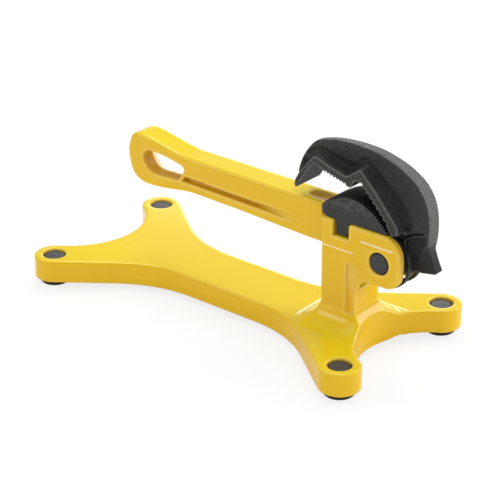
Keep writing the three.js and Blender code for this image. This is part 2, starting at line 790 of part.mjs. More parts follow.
/** One unbroken tube of wire along a path of places, closed at both ends. */
function wire(path) {
  const across = new THREE.Vector3(0, 1, 0);
  const rings = path.map((place, i) => {
    const next = path[Math.min(i + 1, path.length - 1)];
    const last = path[Math.max(i - 1, 0)];
    const along = next.clone().sub(last).normalize();
    const out = along.clone().cross(across).normalize();
    const up = out.clone().cross(along);
    return Array.from({ length: wireSides }, (_, k) => {
      const angle = (2 * Math.PI * k) / wireSides;
      return place.clone()
        .addScaledVector(out, (wireDiameter / 2) * Math.cos(angle))
        .addScaledVector(up, (wireDiameter / 2) * Math.sin(angle));
    });
  });
  const index = [];
  for (let i = 0; i + 1 < rings.length; i += 1) {
    for (let k = 0; k < wireSides; k += 1) {
      const a = i * wireSides + k;
      const b = i * wireSides + ((k + 1) % wireSides);
      index.push(a, a + wireSides, b + wireSides, a, b + wireSides, b);
    }
  }
  const last = (rings.length - 1) * wireSides;
  for (let k = 1; k + 1 < wireSides; k += 1) index.push(0, k, k + 1, last, last + k + 1, last + k);
  const geometry = new THREE.BufferGeometry();
  geometry.setAttribute('position', new THREE.Float32BufferAttribute(rings.flat().flatMap((p) => p.toArray()), 3));
  geometry.setIndex(index);
  geometry.computeVertexNormals();
  return geometry;
}

/** Least gap between two stretches of a wire that lie at least half a curl apart along it. */
function leastSelfGap(path) {
  const fine = new THREE.CatmullRomCurve3(path).getSpacedPoints(path.length * curlSteps);
  const step = fine[0].distanceTo(fine[1]);
  const apart = Math.ceil((Math.PI * coilRadius) / step);
  let least = Infinity;
  fine.forEach((a, i) => fine.slice(i + apart).forEach((b) => {
    least = Math.min(least, a.distanceTo(b));
  }));
  return least - wireDiameter;
}

/** Rubber foot with a recess for its stud's disc. */
function foot() {
  const top = -plateThickness - clearance;
  const floor = -plateThickness - footHeight;
  const recess = top - discThickness - clearance;
  return turnedUpright([
    [0, floor],
    [footRadius - footRound, floor],
    [footRadius, floor + footRound],
    [footRadius, top],
    [discRadius + clearance, top],
    [discRadius + clearance, recess],
    [0, recess],
  ]);
}

/** Stud whose disc is held in the foot and whose thread passes up through the pad. */
function footStud() {
  const top = -plateThickness - clearance;
  const tip = -counterboreDepth + 2 * clearance + footWasherThickness + nutHeight + studTip;
  return turnedUpright([
    [0, top - discThickness],
    [discRadius, top - discThickness],
    [discRadius, top],
    [studRadius, top],
    [studRadius, tip - studTip],
    [studRadius - studTip, tip],
    [0, tip],
  ], smallTurnSteps);
}

function footWasher() {
  return ring(studRadius + clearance, footWasherRadius, 0, footWasherThickness)
    .rotateX(Math.PI / 2)
    .translate(0, 0, -counterboreDepth + clearance);
}

/** Hexagon nut with a plain bore. */
function footNut() {
  const corner = nutAcrossFlats / 2 / Math.cos(Math.PI / 6);
  const shape = shapeOf(arc([0, 0], corner, 0, 300, 5));
  shape.holes = [shapeOf(arc([0, 0], studRadius + clearance, 0, 345, smallTurnSteps - 1))];
  const nut = new THREE.ExtrudeGeometry(shape, { depth: nutHeight, bevelEnabled: false });
  return nut.translate(0, 0, -counterboreDepth + 2 * clearance + footWasherThickness);
}

/** Cup-shaped plug that closes a pad's bore, just below the plate's top. */
function holePlug() {
  const outer = counterboreRadius - clearance;
  return turnedUpright([
    [0, -plugSink - plugCap],
    [outer - plugWall, -plugSink - plugCap],
    [outer - plugWall, -plugSink - plugHeight],
    [outer, -plugSink - plugHeight],
    [outer, -plugSink],
    [0, -plugSink],
  ]);
}

// Finishes
const finishes = {
  paint: { color: 0xe0b81e, roughness: 0.4, metalness: 0 },
  blackCasting: { color: 0x3c3c3e, roughness: 0.62, metalness: 0.25 },
  heelSteel: { color: 0x39393b, roughness: 0.5, metalness: 0.4 },
  pinBlack: { color: 0x3f3f44, roughness: 0.45, metalness: 0.5 },
  bronze: { color: 0x9a7440, roughness: 0.4, metalness: 0.9 },
  springBlack: { color: 0x232325, roughness: 0.4, metalness: 0.6 },
  zinc: { color: 0xb8bcc0, roughness: 0.35, metalness: 0.9 },
  plugBlack: { color: 0x3b3b42, roughness: 0.55, metalness: 0 },
  rubber: { color: 0x18181a, roughness: 0.85, metalness: 0 },
};

function piece(name, geometry, finish) {
  const mesh = new THREE.Mesh(geometry, new THREE.MeshStandardMaterial(finishes[finish]));
  mesh.name = name;
  return mesh;
}

function jawGroup() {
  const group = new THREE.Group();
  group.position.set(pinX, 0, pinHeight);
  const screw = piece('heel_screw', heelScrew(), 'zinc');
  screw.position.set(tenonSlotRight - heelScrewGrip - pinX, 0, heelScrewHeight - pinHeight);
  const paths = { spring_left: springPath(-1), spring_right: springPath(1) };
  group.add(
    piece('hook_jaw', hookJaw(), 'blackCasting'),
    piece('hook_bush', hookBush(), 'bronze'),
    piece('heel_jaw', heelJaw(), 'heelSteel'),
    screw,
    piece('pivot_pin', pivotPin(), 'pinBlack'),
    piece('pin_washer', pinWasher(), 'zinc'),
    piece('pin_circlip', pinCirclip(), 'springBlack'),
    ...Object.entries(paths).map(([name, path]) => piece(name, wire(path), 'springBlack')),
  );
  Object.entries(paths).forEach(([name, path]) => {
    console.log(`${name}: least gap to itself ${leastSelfGap(path).toFixed(2)} mm`);
  });
  return group;
}

function footGroup(place, x, y) {
  const group = new THREE.Group();
  group.position.set(x, y, 0);
  group.add(
    piece(`foot_${place}`, foot(), 'rubber'),
    piece(`foot_stud_${place}`, footStud(), 'zinc'),
    piece(`foot_washer_${place}`, footWasher(), 'zinc'),
    piece(`foot_nut_${place}`, footNut(), 'zinc'),
    piece(`hole_plug_${place}`, holePlug(), 'plugBlack'),
  );
  return group;
}

const vise = new THREE.Group();
vise.add(
  piece('frame_casting', frameCasting(), 'paint'),
  piece('handle_casting', handleCasting(), 'paint'),
  jawGroup(),
  footGroup('front_left', -footX, -footY),
  footGroup('rear_left', -footX, footY),
  footGroup('front_right', footX, -footY),
  footGroup('rear_right', footX, footY),
);
vise.updateMatrixWorld(true);
const extent = new THREE.Box3().setFromObject(vise, true);
vise.position.set(
  -(extent.min.x + extent.max.x) / 2,
  -(extent.min.y + extent.max.y) / 2,
  plateThickness + footHeight,
);
console.log('pin axis', pinX + vise.position.x, pinHeight + vise.position.z);

export default vise;
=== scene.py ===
"""Looks of the pipe vise: smooth castings, forged jaws, wound springs, paint and studio light."""

import json
import logging
import math
from collections.abc import Callable, Sequence
from dataclasses import dataclass, field
from enum import Enum
from typing import Protocol

import bpy
import numpy as np
from mathutils import Matrix, Vector

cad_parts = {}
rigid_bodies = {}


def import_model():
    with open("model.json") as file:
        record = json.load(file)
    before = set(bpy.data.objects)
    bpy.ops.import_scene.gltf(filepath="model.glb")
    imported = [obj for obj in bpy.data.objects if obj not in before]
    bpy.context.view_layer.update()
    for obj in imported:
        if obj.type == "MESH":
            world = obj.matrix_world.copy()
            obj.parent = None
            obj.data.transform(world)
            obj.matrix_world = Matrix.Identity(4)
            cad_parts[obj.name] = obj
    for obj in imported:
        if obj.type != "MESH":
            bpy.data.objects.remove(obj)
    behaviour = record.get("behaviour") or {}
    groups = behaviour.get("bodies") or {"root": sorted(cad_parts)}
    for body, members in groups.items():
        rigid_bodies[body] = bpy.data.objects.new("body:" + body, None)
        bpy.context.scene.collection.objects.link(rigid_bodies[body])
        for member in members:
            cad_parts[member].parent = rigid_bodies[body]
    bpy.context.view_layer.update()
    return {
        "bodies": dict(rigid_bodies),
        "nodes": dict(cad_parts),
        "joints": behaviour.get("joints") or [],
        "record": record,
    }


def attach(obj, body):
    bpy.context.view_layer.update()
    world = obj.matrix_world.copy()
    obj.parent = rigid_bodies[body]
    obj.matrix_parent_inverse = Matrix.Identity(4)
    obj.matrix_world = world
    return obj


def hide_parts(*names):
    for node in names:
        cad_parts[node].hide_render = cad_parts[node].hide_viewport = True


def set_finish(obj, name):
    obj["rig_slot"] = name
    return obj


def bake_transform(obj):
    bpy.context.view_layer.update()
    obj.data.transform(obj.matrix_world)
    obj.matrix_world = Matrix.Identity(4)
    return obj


log = logging.getLogger("pipe_vise")

Points = np.ndarray
Field = Callable[[Points], np.ndarray]
Pair = tuple[float, float]
Triple = tuple[float, float, float]

MM = 0.001
FAR = 18.0
OVERRUN = 6.0


class Slot(Enum):
    """Material slots of the record."""

    PAINT = "yellow_paint"
    FORGING = "black_forging"
    HEEL = "black_steel"
    PIN = "pin_steel"
    SPRING = "spring_steel"
    BRONZE = "bronze"
    ZINC = "zinc"
    PLUG = "plug_plastic"
    RUBBER = "rubber"


class Body(Enum):
    """Bodies that the pieces ride on."""

    FRAME = "frame"
    HOOK = "hook"


class Axis(Enum):
    """Axis that a turned piece or a bore runs along."""

    X = 0
    Y = 1
    Z = 2


class Mark(Enum):
    """What a mesh tells its material at each point."""

    # Convex rims, which the finishes lighten as wear and painted highlight.
    RIM = "rim"
    # Hollows, which the finishes darken as painted shade.
    HOLLOW = "hollow"
    # Where painted shade darkens the colour.
    DUSK = "dusk"
    # Raised lines, which the paint lightens as a painted highlight.
    LINE = "line"
    # Back band, which the forging lightens as a painted highlight.
    BACK = "back"
    GROUND = "ground"


@dataclass(frozen=True)
class Ramp:
    """Value that grows evenly from zero over a run and is held between low and high."""

    zero: float
    run: float
    low: float = 0.0
    high: float = 1.0

    def at(self, places: np.ndarray) -> np.ndarray:
        """Values at places."""
        return np.clip((places - self.zero) / self.run, self.low, self.high)


# Lines


def smooth_line(places: Sequence[Pair], steps: int = 3, closed: bool = False) -> np.ndarray:
    """Draws a smooth line through places.

    Args:
        places: Places that the line passes through.
        steps: Pieces between two places.
        closed: Whether the line runs back to its start.

    Returns:
        Array of places on the line.
    """
    p = np.array(places, float)
    if closed:
        ends = np.concatenate([p[-1:], p, p[:2]])
    else:
        ends = np.concatenate([p[:1] * 2 - p[1:2], p, p[-1:] * 2 - p[-2:-1]])
    made = []
    for a, b, c, d in zip(ends, ends[1:], ends[2:], ends[3:]):
        for t in np.arange(steps) / steps:
            bend = (2 * a - 5 * b + 4 * c - d) * t * t + (3 * b - a - 3 * c + d) * t**3
            made.append(0.5 * (2 * b + (c - a) * t + bend))
    if not closed:
        made.append(p[-1])
    return np.array(made)


def smooth_3d(places: np.ndarray, steps: int) -> np.ndarray:
    """Draws a smooth line in space.

    Args:
        places: Places that the line passes through.
        steps: Pieces between two places.

    Returns:
        Array of places on the line.
    """
    flat = smooth_line(places[:, [0, 2]], steps)
    y = np.interp(np.linspace(0, 1, len(flat)), np.linspace(0, 1, len(places)), places[:, 1])
    return np.stack([flat[:, 0], y, flat[:, 1]], 1)


def arc(centre: Pair, radius: float, start: float, end: float, steps: int) -> np.ndarray:
    """Places along an arc, with angles in degrees and both ends included."""
    turn = np.radians(np.linspace(start, end, steps + 1))
    return np.array(centre) + radius * np.stack([np.cos(turn), np.sin(turn)], 1)


def outline_distance(u: np.ndarray, v: np.ndarray, corners: np.ndarray, silent: int = 0) -> np.ndarray:
    """Signed distance to a closed outline.

    Args:
        u: First coordinate of the points.
        v: Second coordinate of the points.
        corners: Corners of the outline.
        silent: Sides at the end that only close the outline and have no distance.

    Returns:
        Distance of each point, below zero inside.
    """
    best = np.full(u.shape, np.inf)
    odd = np.zeros(u.shape, bool)
    count = len(corners)
    for i in range(count):
        (au, av), (bu, bv) = corners[i], corners[(i + 1) % count]
        du, dv = bu - au, bv - av
        pu, pv = u - au, v - av
        if i < count - silent:
            t = np.clip((pu * du + pv * dv) / max(du * du + dv * dv, 1e-12), 0, 1)
            np.minimum(best, (pu - du * t) ** 2 + (pv - dv * t) ** 2, out=best)
        if dv:
            odd ^= ((av > v) != (bv > v)) & (pu < du * pv / dv)
    return np.sqrt(best) * np.where(odd, -1, 1)


# Shapes as distance fields


def meet(a: np.ndarray, b: np.ndarray, edge: float | np.ndarray) -> np.ndarray:
    """Overlap of two fields with a rounded edge."""
    a, b = a + edge, b + edge
    return np.minimum(np.maximum(a, b), 0) + np.hypot(np.maximum(a, 0), np.maximum(b, 0)) - edge


def fillet(a: np.ndarray, b: np.ndarray, radius: float) -> np.ndarray:
    """Unites two fields with a fillet between them.

    Args:
        a: Distances to the first shape.
        b: Distances to the second shape.
        radius: Radius of the fillet.

    Returns:
        Distances to both together.
    """
    if radius <= 0:
        return np.minimum(a, b)
    inner = np.hypot(np.maximum(radius - a, 0), np.maximum(radius - b, 0))
    return np.maximum(radius, np.minimum(a, b)) - inner


@dataclass(frozen=True)
class Solid:
    """Distance field in millimetres with the box that holds its body."""

    distance: Field
    low: Triple
    high: Triple

    def at(self, points: Points) -> np.ndarray:
        """Measures points.

        Args:
            points: Points to measure.

        Returns:
            Their distances, where far points get their distance to the box.
        """
        low, high = np.array(self.low), np.array(self.high)
        gap = np.sqrt((np.maximum(np.maximum(low - points, points - high), 0) ** 2).sum(1))
        near = gap < FAR
        if near.any():
            gap[near] = self.distance(points[near])
        return gap

    def _with(self, other: "Solid", distance: Field, grow: bool) -> "Solid":
        """Makes a solid from this one and another.

        Args:
            other: The other solid.
            distance: Distance field of the result.
            grow: Whether the box grows to the other's.

        Returns:
            The new solid.
        """
        low = tuple(np.minimum(self.low, other.low)) if grow else self.low
        high = tuple(np.maximum(self.high, other.high)) if grow else self.high
        return Solid(distance, low, high)

    def join(self, other: "Solid", radius: float = 0) -> "Solid":
        """Union with a fillet of the given radius."""
        return self._with(other, lambda p: fillet(self.at(p), other.at(p), radius), True)

    def carve(self, other: "Solid", radius: float = 0) -> "Solid":
        """This solid without the other, with its rims rounded."""
        return self._with(other, lambda p: -fillet(-self.at(p), other.at(p), radius), False)

    def inside(self, other: "Solid") -> "Solid":
        """Overlap with the other solid."""
        return self._with(other, lambda p: np.maximum(self.at(p), other.at(p)), False)


def prism(corners: np.ndarray, across: Field, middle: float, reach: float, edge: float = 0) -> Solid:
    """Makes a solid from an outline in X and Z and a distance across it.

    Args:
        corners: Corners of the outline.
        across: What gives the distance across the outline.
        middle: Middle of the solid along Y.
        reach: Half of its width.
        edge: Radius of the rounded edges.

    Returns:
        The solid.
    """

    def distance(p: Points) -> np.ndarray:
        """Distance to the solid."""
        return meet(outline_distance(p[:, 0], p[:, 2], corners), across(p), edge)

    low, high = corners.min(0), corners.max(0)
    return Solid(distance, (low[0], middle - reach, low[1]), (high[0], middle + reach, high[1]))


def slab(corners: np.ndarray, half: float, edge: float = 0, middle: float = 0) -> Solid:
    """Solid of even width from an outline in X and Z."""
    return prism(corners, lambda p: np.abs(p[:, 1] - middle) - half, middle, half, edge)


def round_bar(axis: Axis, centre: Triple, radius: float, start: float, end: float, edge: float = 0) -> Solid:
    """Makes a round bar.

    Args:
        axis: Axis that it runs along.
        centre: Any place on its middle line.
        radius: Its radius.
        start: Where it starts along the axis.
        end: Where it ends along the axis.
        edge: Radius of its rounded rims.

    Returns:
        The bar.
    """
    along = axis.value
    others = [i for i in range(3) if i != along]
    middle, half = (start + end) / 2, (end - start) / 2

    def distance(p: Points) -> np.ndarray:
        """Distance to the bar."""
        reach = np.hypot(p[:, others[0]] - centre[others[0]], p[:, others[1]] - centre[others[1]])
        return meet(reach - radius, np.abs(p[:, along] - middle) - half, edge)

    low, high = list(centre), list(centre)
    for i in others:
        low[i] -= radius
        high[i] += radius
    low[along], high[along] = start, end
    return Solid(distance, tuple(low), tuple(high))


def flared(plate: Solid, post: Solid, reach: float, rise: float, power: float) -> Solid:
    """Joins a plate and a post with a sloping foot between them.

    Args:
        plate: The plate.
        post: The post.
        reach: How far the foot reaches from the post.
        rise: How far it rises above the plate.
        power: How tightly it bends at both ends, where 2 is a plain round.

    Returns:
        Both as one solid.
    """

    def distance(p: Points) -> np.ndarray:
        """Distance to the joined solid."""
        a, b = post.at(p), plate.at(p) * (reach / rise)
        inner = (np.maximum(reach - a, 0) ** power + np.maximum(reach - b, 0) ** power) ** (1 / power)
        return np.maximum(reach, np.minimum(a, b)) - inner

    low = tuple(np.minimum(plate.low, post.low))
    return Solid(distance, low, tuple(np.maximum(plate.high, post.high)))


# Meshes


CORNERS = np.array([(i, j, k) for i in (0, 1) for j in (0, 1) for k in (0, 1)])
EDGES = [(a, b) for a in range(8) for b in range(a + 1, 8) if np.abs(CORNERS[a] - CORNERS[b]).sum() == 1]


@dataclass
class Skin:
    """Mesh of a surface with what its shape tells the materials."""

    places: np.ndarray
    quads: np.ndarray
    marks: dict[Mark, np.ndarray] = field(default_factory=dict)


def net(solid: Solid, step: float) -> Skin:
    """Finds the surface of a solid on a sparse grid.

    Args:
        solid: Solid to draw.
        step: Size of a grid cell in millimetres.

    Returns:
        The surface as quads.
    """
    low = np.array(solid.low) - 1.6 * step
    coarse = 4 * step
    counts = np.ceil((np.array(solid.high) + 1.6 * step - low) / coarse).astype(int)
    centres = low + (np.indices(counts).reshape(3, -1).T + 0.5) * coarse
    keep = (np.abs(solid.at(centres)) < coarse * 1.15).reshape(counts)
    cells = keep.repeat(4, 0).repeat(4, 1).repeat(4, 2)
    shape = np.array(cells.shape)
    active = np.zeros(shape + 1, bool)
    for i, j, k in CORNERS:
        active[i : i + shape[0], j : j + shape[1], k : k + shape[2]] |= cells
    grid = np.argwhere(active)
    values = np.full(shape + 1, coarse)
    values[active] = solid.at(low + grid * step)
    inner = values < 0
    count = np.zeros(shape, np.int8)
    for i, j, k in CORNERS:
        count += inner[i : i + shape[0], j : j + shape[1], k : k + shape[2]]
    crossed = cells & (count > 0) & (count < 8)
    cell = np.argwhere(crossed)
    number = np.full(shape, -1)
    number[crossed] = np.arange(len(cell))
    around = cell[:, None, :] + CORNERS[None]
    v = values[around[..., 0], around[..., 1], around[..., 2]]
    total, hits = np.zeros((len(cell), 3)), np.zeros(len(cell))
    for a, b in EDGES:
        cut = (v[:, a] < 0) != (v[:, b] < 0)
        share = v[cut, a] / (v[cut, a] - v[cut, b])
        total[cut] += CORNERS[a] + share[:, None] * (CORNERS[b] - CORNERS[a])
        hits[cut] += 1
    places = low + (cell + total / hits[:, None]) * step
    return Skin(places, _faces(inner, number))


def _faces(inner: np.ndarray, number: np.ndarray) -> np.ndarray:
    """Makes a quad round every grid edge that crosses the surface.

    Args:
        inner: Whether each grid place lies inside the solid.
        number: Number of the mesh point in each cell, below zero for none.

    Returns:
        The quads, facing out.
    """
    made = []
    for axis in range(3):
        b, c = (axis + 1) % 3, (axis + 2) % 3
        start = [slice(None)] * 3
        end = [slice(None)] * 3
        start[axis], end[axis] = slice(None, -1), slice(1, None)
        at = np.argwhere(inner[tuple(start)] != inner[tuple(end)])
        fine = (at[:, b] > 0) & (at[:, c] > 0)
        fine &= (at[:, b] < number.shape[b]) & (at[:, c] < number.shape[c])
        at = at[fine]
        ring = []
        for db, dc in ((0, 0), (1, 0), (1, 1), (0, 1)):
            q = at.copy()
            q[:, b] -= db
            q[:, c] -= dc
            ring.append(number[q[:, 0], q[:, 1], q[:, 2]])
        quad = np.stack(ring, 1)
        flip = ~inner[at[:, 0], at[:, 1], at[:, 2]]
        quad[flip] = quad[flip][:, ::-1]
        made.append(quad[(quad >= 0).all(1)])
    return np.concatenate(made)


def slope(solid: Solid, points: Points, distance: np.ndarray, reach: float = 0.04) -> np.ndarray:
    """Growth of the distance along each axis."""
    return np.stack([solid.at(points + reach * step) - distance for step in np.eye(3)], 1) / reach


def skin(solid: Solid, step: float, rim: float, hollow: float) -> Skin:
    """Draws a smooth surface with marks for its sharp rims and its hollows.

    Args:
        solid: Solid to draw.
        step: Size of a grid cell in millimetres.
        rim: Depth at which rims are felt.
        hollow: Height at which hollows are felt.

    Returns:
        The surface, drawn onto the solid.
    """
    made = net(solid, step)
    for _ in range(2):
        distance = solid.at(made.places)
        normal = slope(solid, made.places, distance)
        steep = np.clip(np.linalg.norm(normal, axis=1), 0.3, 3)
        normal /= steep[:, None]
        made.places -= np.clip(distance / steep, -0.5 * step, 0.5 * step)[:, None] * normal
    made.marks[Mark.RIM] = np.clip((solid.at(made.places - rim * normal) + rim) / (0.3 * rim), 0, 1)
    made.marks[Mark.HOLLOW] = np.clip((hollow - solid.at(made.places + hollow * normal)) / hollow, 0, 1)
    return made


def tube(rings: Sequence[np.ndarray], flip: bool = False) -> np.ndarray:
    """Joins rings of equal size with quads.

    Args:
        rings: Rings of places, in order.
        flip: Whether the faces turn over.

    Returns:
        The quads.
    """
    steps = len(rings[0])
    quads = []
    for i in range(len(rings) - 1):
        a = i * steps + np.arange(steps)
        b = i * steps + (np.arange(steps) + 1) % steps
        quads.append(np.stack([a, a + steps, b + steps, b] if flip else [a, b, b + steps, a + steps], 1))
    return np.concatenate(quads)


def turned_skin(profile: Sequence[Pair], axis: Axis, dark: Pair = (0, 0), steps: int = 72) -> Skin:
    """Makes the turned surface of a profile, with its corners broken and both ends closed.

    Args:
        profile: Radius and place along the axis, from one end to the other.
        axis: Axis of the turned piece.
        dark: Smallest and largest radius of a ring that gets painted shade.
        steps: Sides round the axis.

    Returns:
        The surface.
    """
    chamfer, chamfer_share, least = 0.25, 0.35, 0.02
    rounded: list[Pair] = []
    for i, (r, z) in enumerate(profile):
        if i in (0, len(profile) - 1):
            rounded.append((r, z))
            continue
        for j in (i - 1, i + 1):
            gap = np.array(profile[j], float) - (r, z)
            length = max(float(np.hypot(*gap)), 1e-9)
            share = min(chamfer, chamfer_share * length) / length
            rounded.append((r + gap[0] * share, z + gap[1] * share))
    turn = np.linspace(0, 2 * np.pi, steps, endpoint=False)
    order = [(axis.value + 1) % 3, (axis.value + 2) % 3, axis.value]
    rings = []
    for r, z in rounded:
        ring = np.zeros((steps, 3))
        ring[:, order[0]] = max(r, least) * np.cos(turn)
        ring[:, order[1]] = max(r, least) * np.sin(turn)
        ring[:, order[2]] = z
        rings.append(ring)
    # Painted shade on the rings that lie in the gap.
    soot = [dark[0] < r < dark[1] for r, _ in rounded]
    marks = {Mark.HOLLOW: np.repeat(soot, steps).astype(float)}
    return Skin(np.concatenate(rings), tube(rings), marks)


def wire_skin(path: np.ndarray, radius: float, sides: int = 16) -> Skin:
    """Makes a tube of wire with both ends rounded.

    Args:
        path: Places that the wire's middle line follows.
        radius: Radius of the wire.
        sides: Sides round the wire.

    Returns:
        The surface.
    """
    line = np.gradient(path, axis=0)
    line /= np.linalg.norm(line, axis=1, keepdims=True)
    out = np.cross(line, np.array((0, 1, 0)))
    out /= np.linalg.norm(out, axis=1, keepdims=True)
    up = np.cross(out, line)
    turn = np.linspace(0, 2 * np.pi, sides, endpoint=False)
    rings = [
        p + radius * (np.cos(turn)[:, None] * o + np.sin(turn)[:, None] * u)
        for p, o, u in zip(path, out, up)
    ]
    caps = []
    for end, way in ((0, -1), (-1, 1)):
        for share in (0.5, 0.87, 0.99):
            grow = math.sqrt(1 - share * share)
            caps.append(path[end] + way * share * radius * line[end] + grow * (rings[end] - path[end]))
    rings = [*caps[2::-1], *rings, *caps[3:]]
    return Skin(np.concatenate(rings), tube(rings, flip=True))


class Bench:
    """Puts the shown pieces where the frame has them."""

    def __init__(self, frame: dict, pin: Pair) -> None:
        """Reads the pin's place.

        Args:
            frame: The frame as loaded.
            pin: Place of the pin in the stand's own X and Z, in millimetres.
        """
        pivot = next(j for j in frame["joints"] if j["name"] == "hook_pivot")
        self.pin = np.array(pivot["pos_m"]) / MM
        self.shift = self.pin - (pin[0], 0, pin[1])

    def mesh(self, name: str, made: Skin, offset: np.ndarray, slot: Slot) -> bpy.types.Object:
        """Turns a skin in millimetres into an object in metres.

        Args:
            name: Name of the piece.
            made: Surface to show.
            offset: Place of the skin's origin in the frame in millimetres.
            slot: Slot that it takes its finish from.

        Returns:
            The new object, with smooth shading.
        """
        mesh = bpy.data.meshes.new(name)
        places = (made.places + offset) * MM
        mesh.from_pydata(places.tolist(), [], made.quads.tolist())
        mesh.update()
        mesh.shade_smooth()
        for mark, values in made.marks.items():
            layer = mesh.attributes.new(mark.value, "FLOAT", "POINT")
            layer.data.foreach_set("value", values.astype(np.float32))
        shown = bpy.data.objects.new(name, mesh)
        bpy.context.scene.collection.objects.link(shown)
        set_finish(shown, slot.value)
        log.info("%s: %d faces in %s", name, len(made.quads), slot.value)
        return shown

    def place(
        self, name: str, made: Skin, offset: np.ndarray, slot: Slot, body: Body, *nodes: str
    ) -> None:
        """Shows a piece that rides on one body.

        Args:
            name: Name of the piece.
            made: Surface to show.
            offset: Place of the skin's origin in the frame in millimetres.
            slot: Slot that it takes its finish from.
            body: Body that it rides on.
            nodes: Nodes that it stands for.
        """
        shown = self.mesh(name, made, offset, slot)
        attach(shown, body.value)
        if nodes:
            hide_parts(*nodes)


class Assembly(Protocol):
    """Sub-assembly that shows its own pieces."""

    def show(self, bench: Bench) -> None:
        """Adds the pieces to the scene."""


# Stand and handle


@dataclass(frozen=True)
class Plate:
    """The stand's plate in millimetres, with its top at height zero."""

    foot_x: float = 150.0
    foot_y: float = 66.45
    pad: float = 16.8
    thick: float = 19.4
    top_round: float = 1.9
    low_round: float = 1.5
    waist: float = 26.5
    waist_bend: float = 105.0
    leg_angle: float = 37.5
    hollow: float = 20.5
    bore: float = 9.6
    bore_floor: float = 12.0
    bore_rim: float = 1.1
    stud_bore: float = 3.3
    stud_rim: float = 0.3
    relief: Triple = (28.3, 18.5, 8.0)
    relief_pitch: float = 64.7
    relief_corner: float = 3.0
    relief_rim: float = 1.0
    room: float = 90.0

    def quarter(self) -> np.ndarray:
        """Draws a quarter of the outline, closed along both middle lines.

        Returns:
            Corners of the quarter, with its last two sides on the middle lines.
        """
        hollow = (self.foot_y**2 + self.hollow**2 - self.pad**2) / (2 * (self.pad + self.hollow))
        centre = self.foot_x - self.hollow + hollow
        turn = math.degrees(math.atan2(self.foot_y, self.foot_x - centre))
        lean = math.radians(self.leg_angle)
        leg_x = self.foot_x - self.pad * math.sin(lean)
        leg_y = self.foot_y + self.pad * math.cos(lean)
        crossing = leg_x - (leg_y - self.waist) / math.tan(lean)
        waist_x = crossing - self.waist_bend * math.tan(lean / 2)
        return np.concatenate([
            arc((centre, 0), hollow, 180, turn, 10),
            arc((self.foot_x, self.foot_y), self.pad, turn - 180, 90 + self.leg_angle, 28)[1:],
            arc((waist_x, self.waist + self.waist_bend), self.waist_bend, self.leg_angle - 90, -90, 14),
            [(0, self.waist), (0, 0)],
        ])

    def solids(self) -> tuple[Solid, Solid]:
        """Makes the plate and the upright prism that stands on its outline.

        Returns:
            The plate and the prism.
        """
        quarter = self.quarter()
        middle = -self.thick / 2

        def edge_distance(p: Points) -> np.ndarray:
            """Distance to the outline."""
            return outline_distance(np.abs(p[:, 0]), np.abs(p[:, 1]), quarter, 2)

        def distance(p: Points) -> np.ndarray:
            """Distance to the plate."""
            edge = np.where(p[:, 2] > middle, self.top_round, self.low_round)
            return meet(edge_distance(p), np.abs(p[:, 2] - middle) - self.thick / 2, edge)

        x, y = self.foot_x + self.pad, self.foot_y + self.pad
        low = (-x, -y, -self.thick)
        return Solid(distance, low, (x, y, 0)), Solid(edge_distance, low, (x, y, self.room))

    def cuts(self) -> list[tuple[Solid, float]]:
        """Makes the bores in the pads and the hollows under the plate.

        Returns:
            Each cut with its rim's round.
        """
        cuts = []
        for x in (-self.foot_x, self.foot_x):
            for y in (-self.foot_y, self.foot_y):
                bore = round_bar(Axis.Z, (x, y, 0), self.bore, -self.bore_floor, OVERRUN)
                stud = round_bar(Axis.Z, (x, y, 0), self.stud_bore, -self.thick - OVERRUN, 0)
                cuts += [(bore, self.bore_rim), (stud, self.stud_rim)]
        half, wide, deep = self.relief
        roof = deep - self.thick
        for place in (-1, 0, 1):
            middle = place * self.relief_pitch
            corners = np.array([(-1, -1), (1, -1), (1, 1), (-1, 1)]) * (half, wide) + (middle, 0)

            def distance(p: Points, corners: np.ndarray = corners) -> np.ndarray:
                """Distance to the hollow."""
                flat = outline_distance(p[:, 0], p[:, 1], corners)
                return meet(flat, p[:, 2] - roof, self.relief_corner)

            low = (middle - half, -wide, -self.thick - OVERRUN)
            cuts.append((Solid(distance, low, (middle + half, wide, roof)), self.relief_rim))
        return cuts


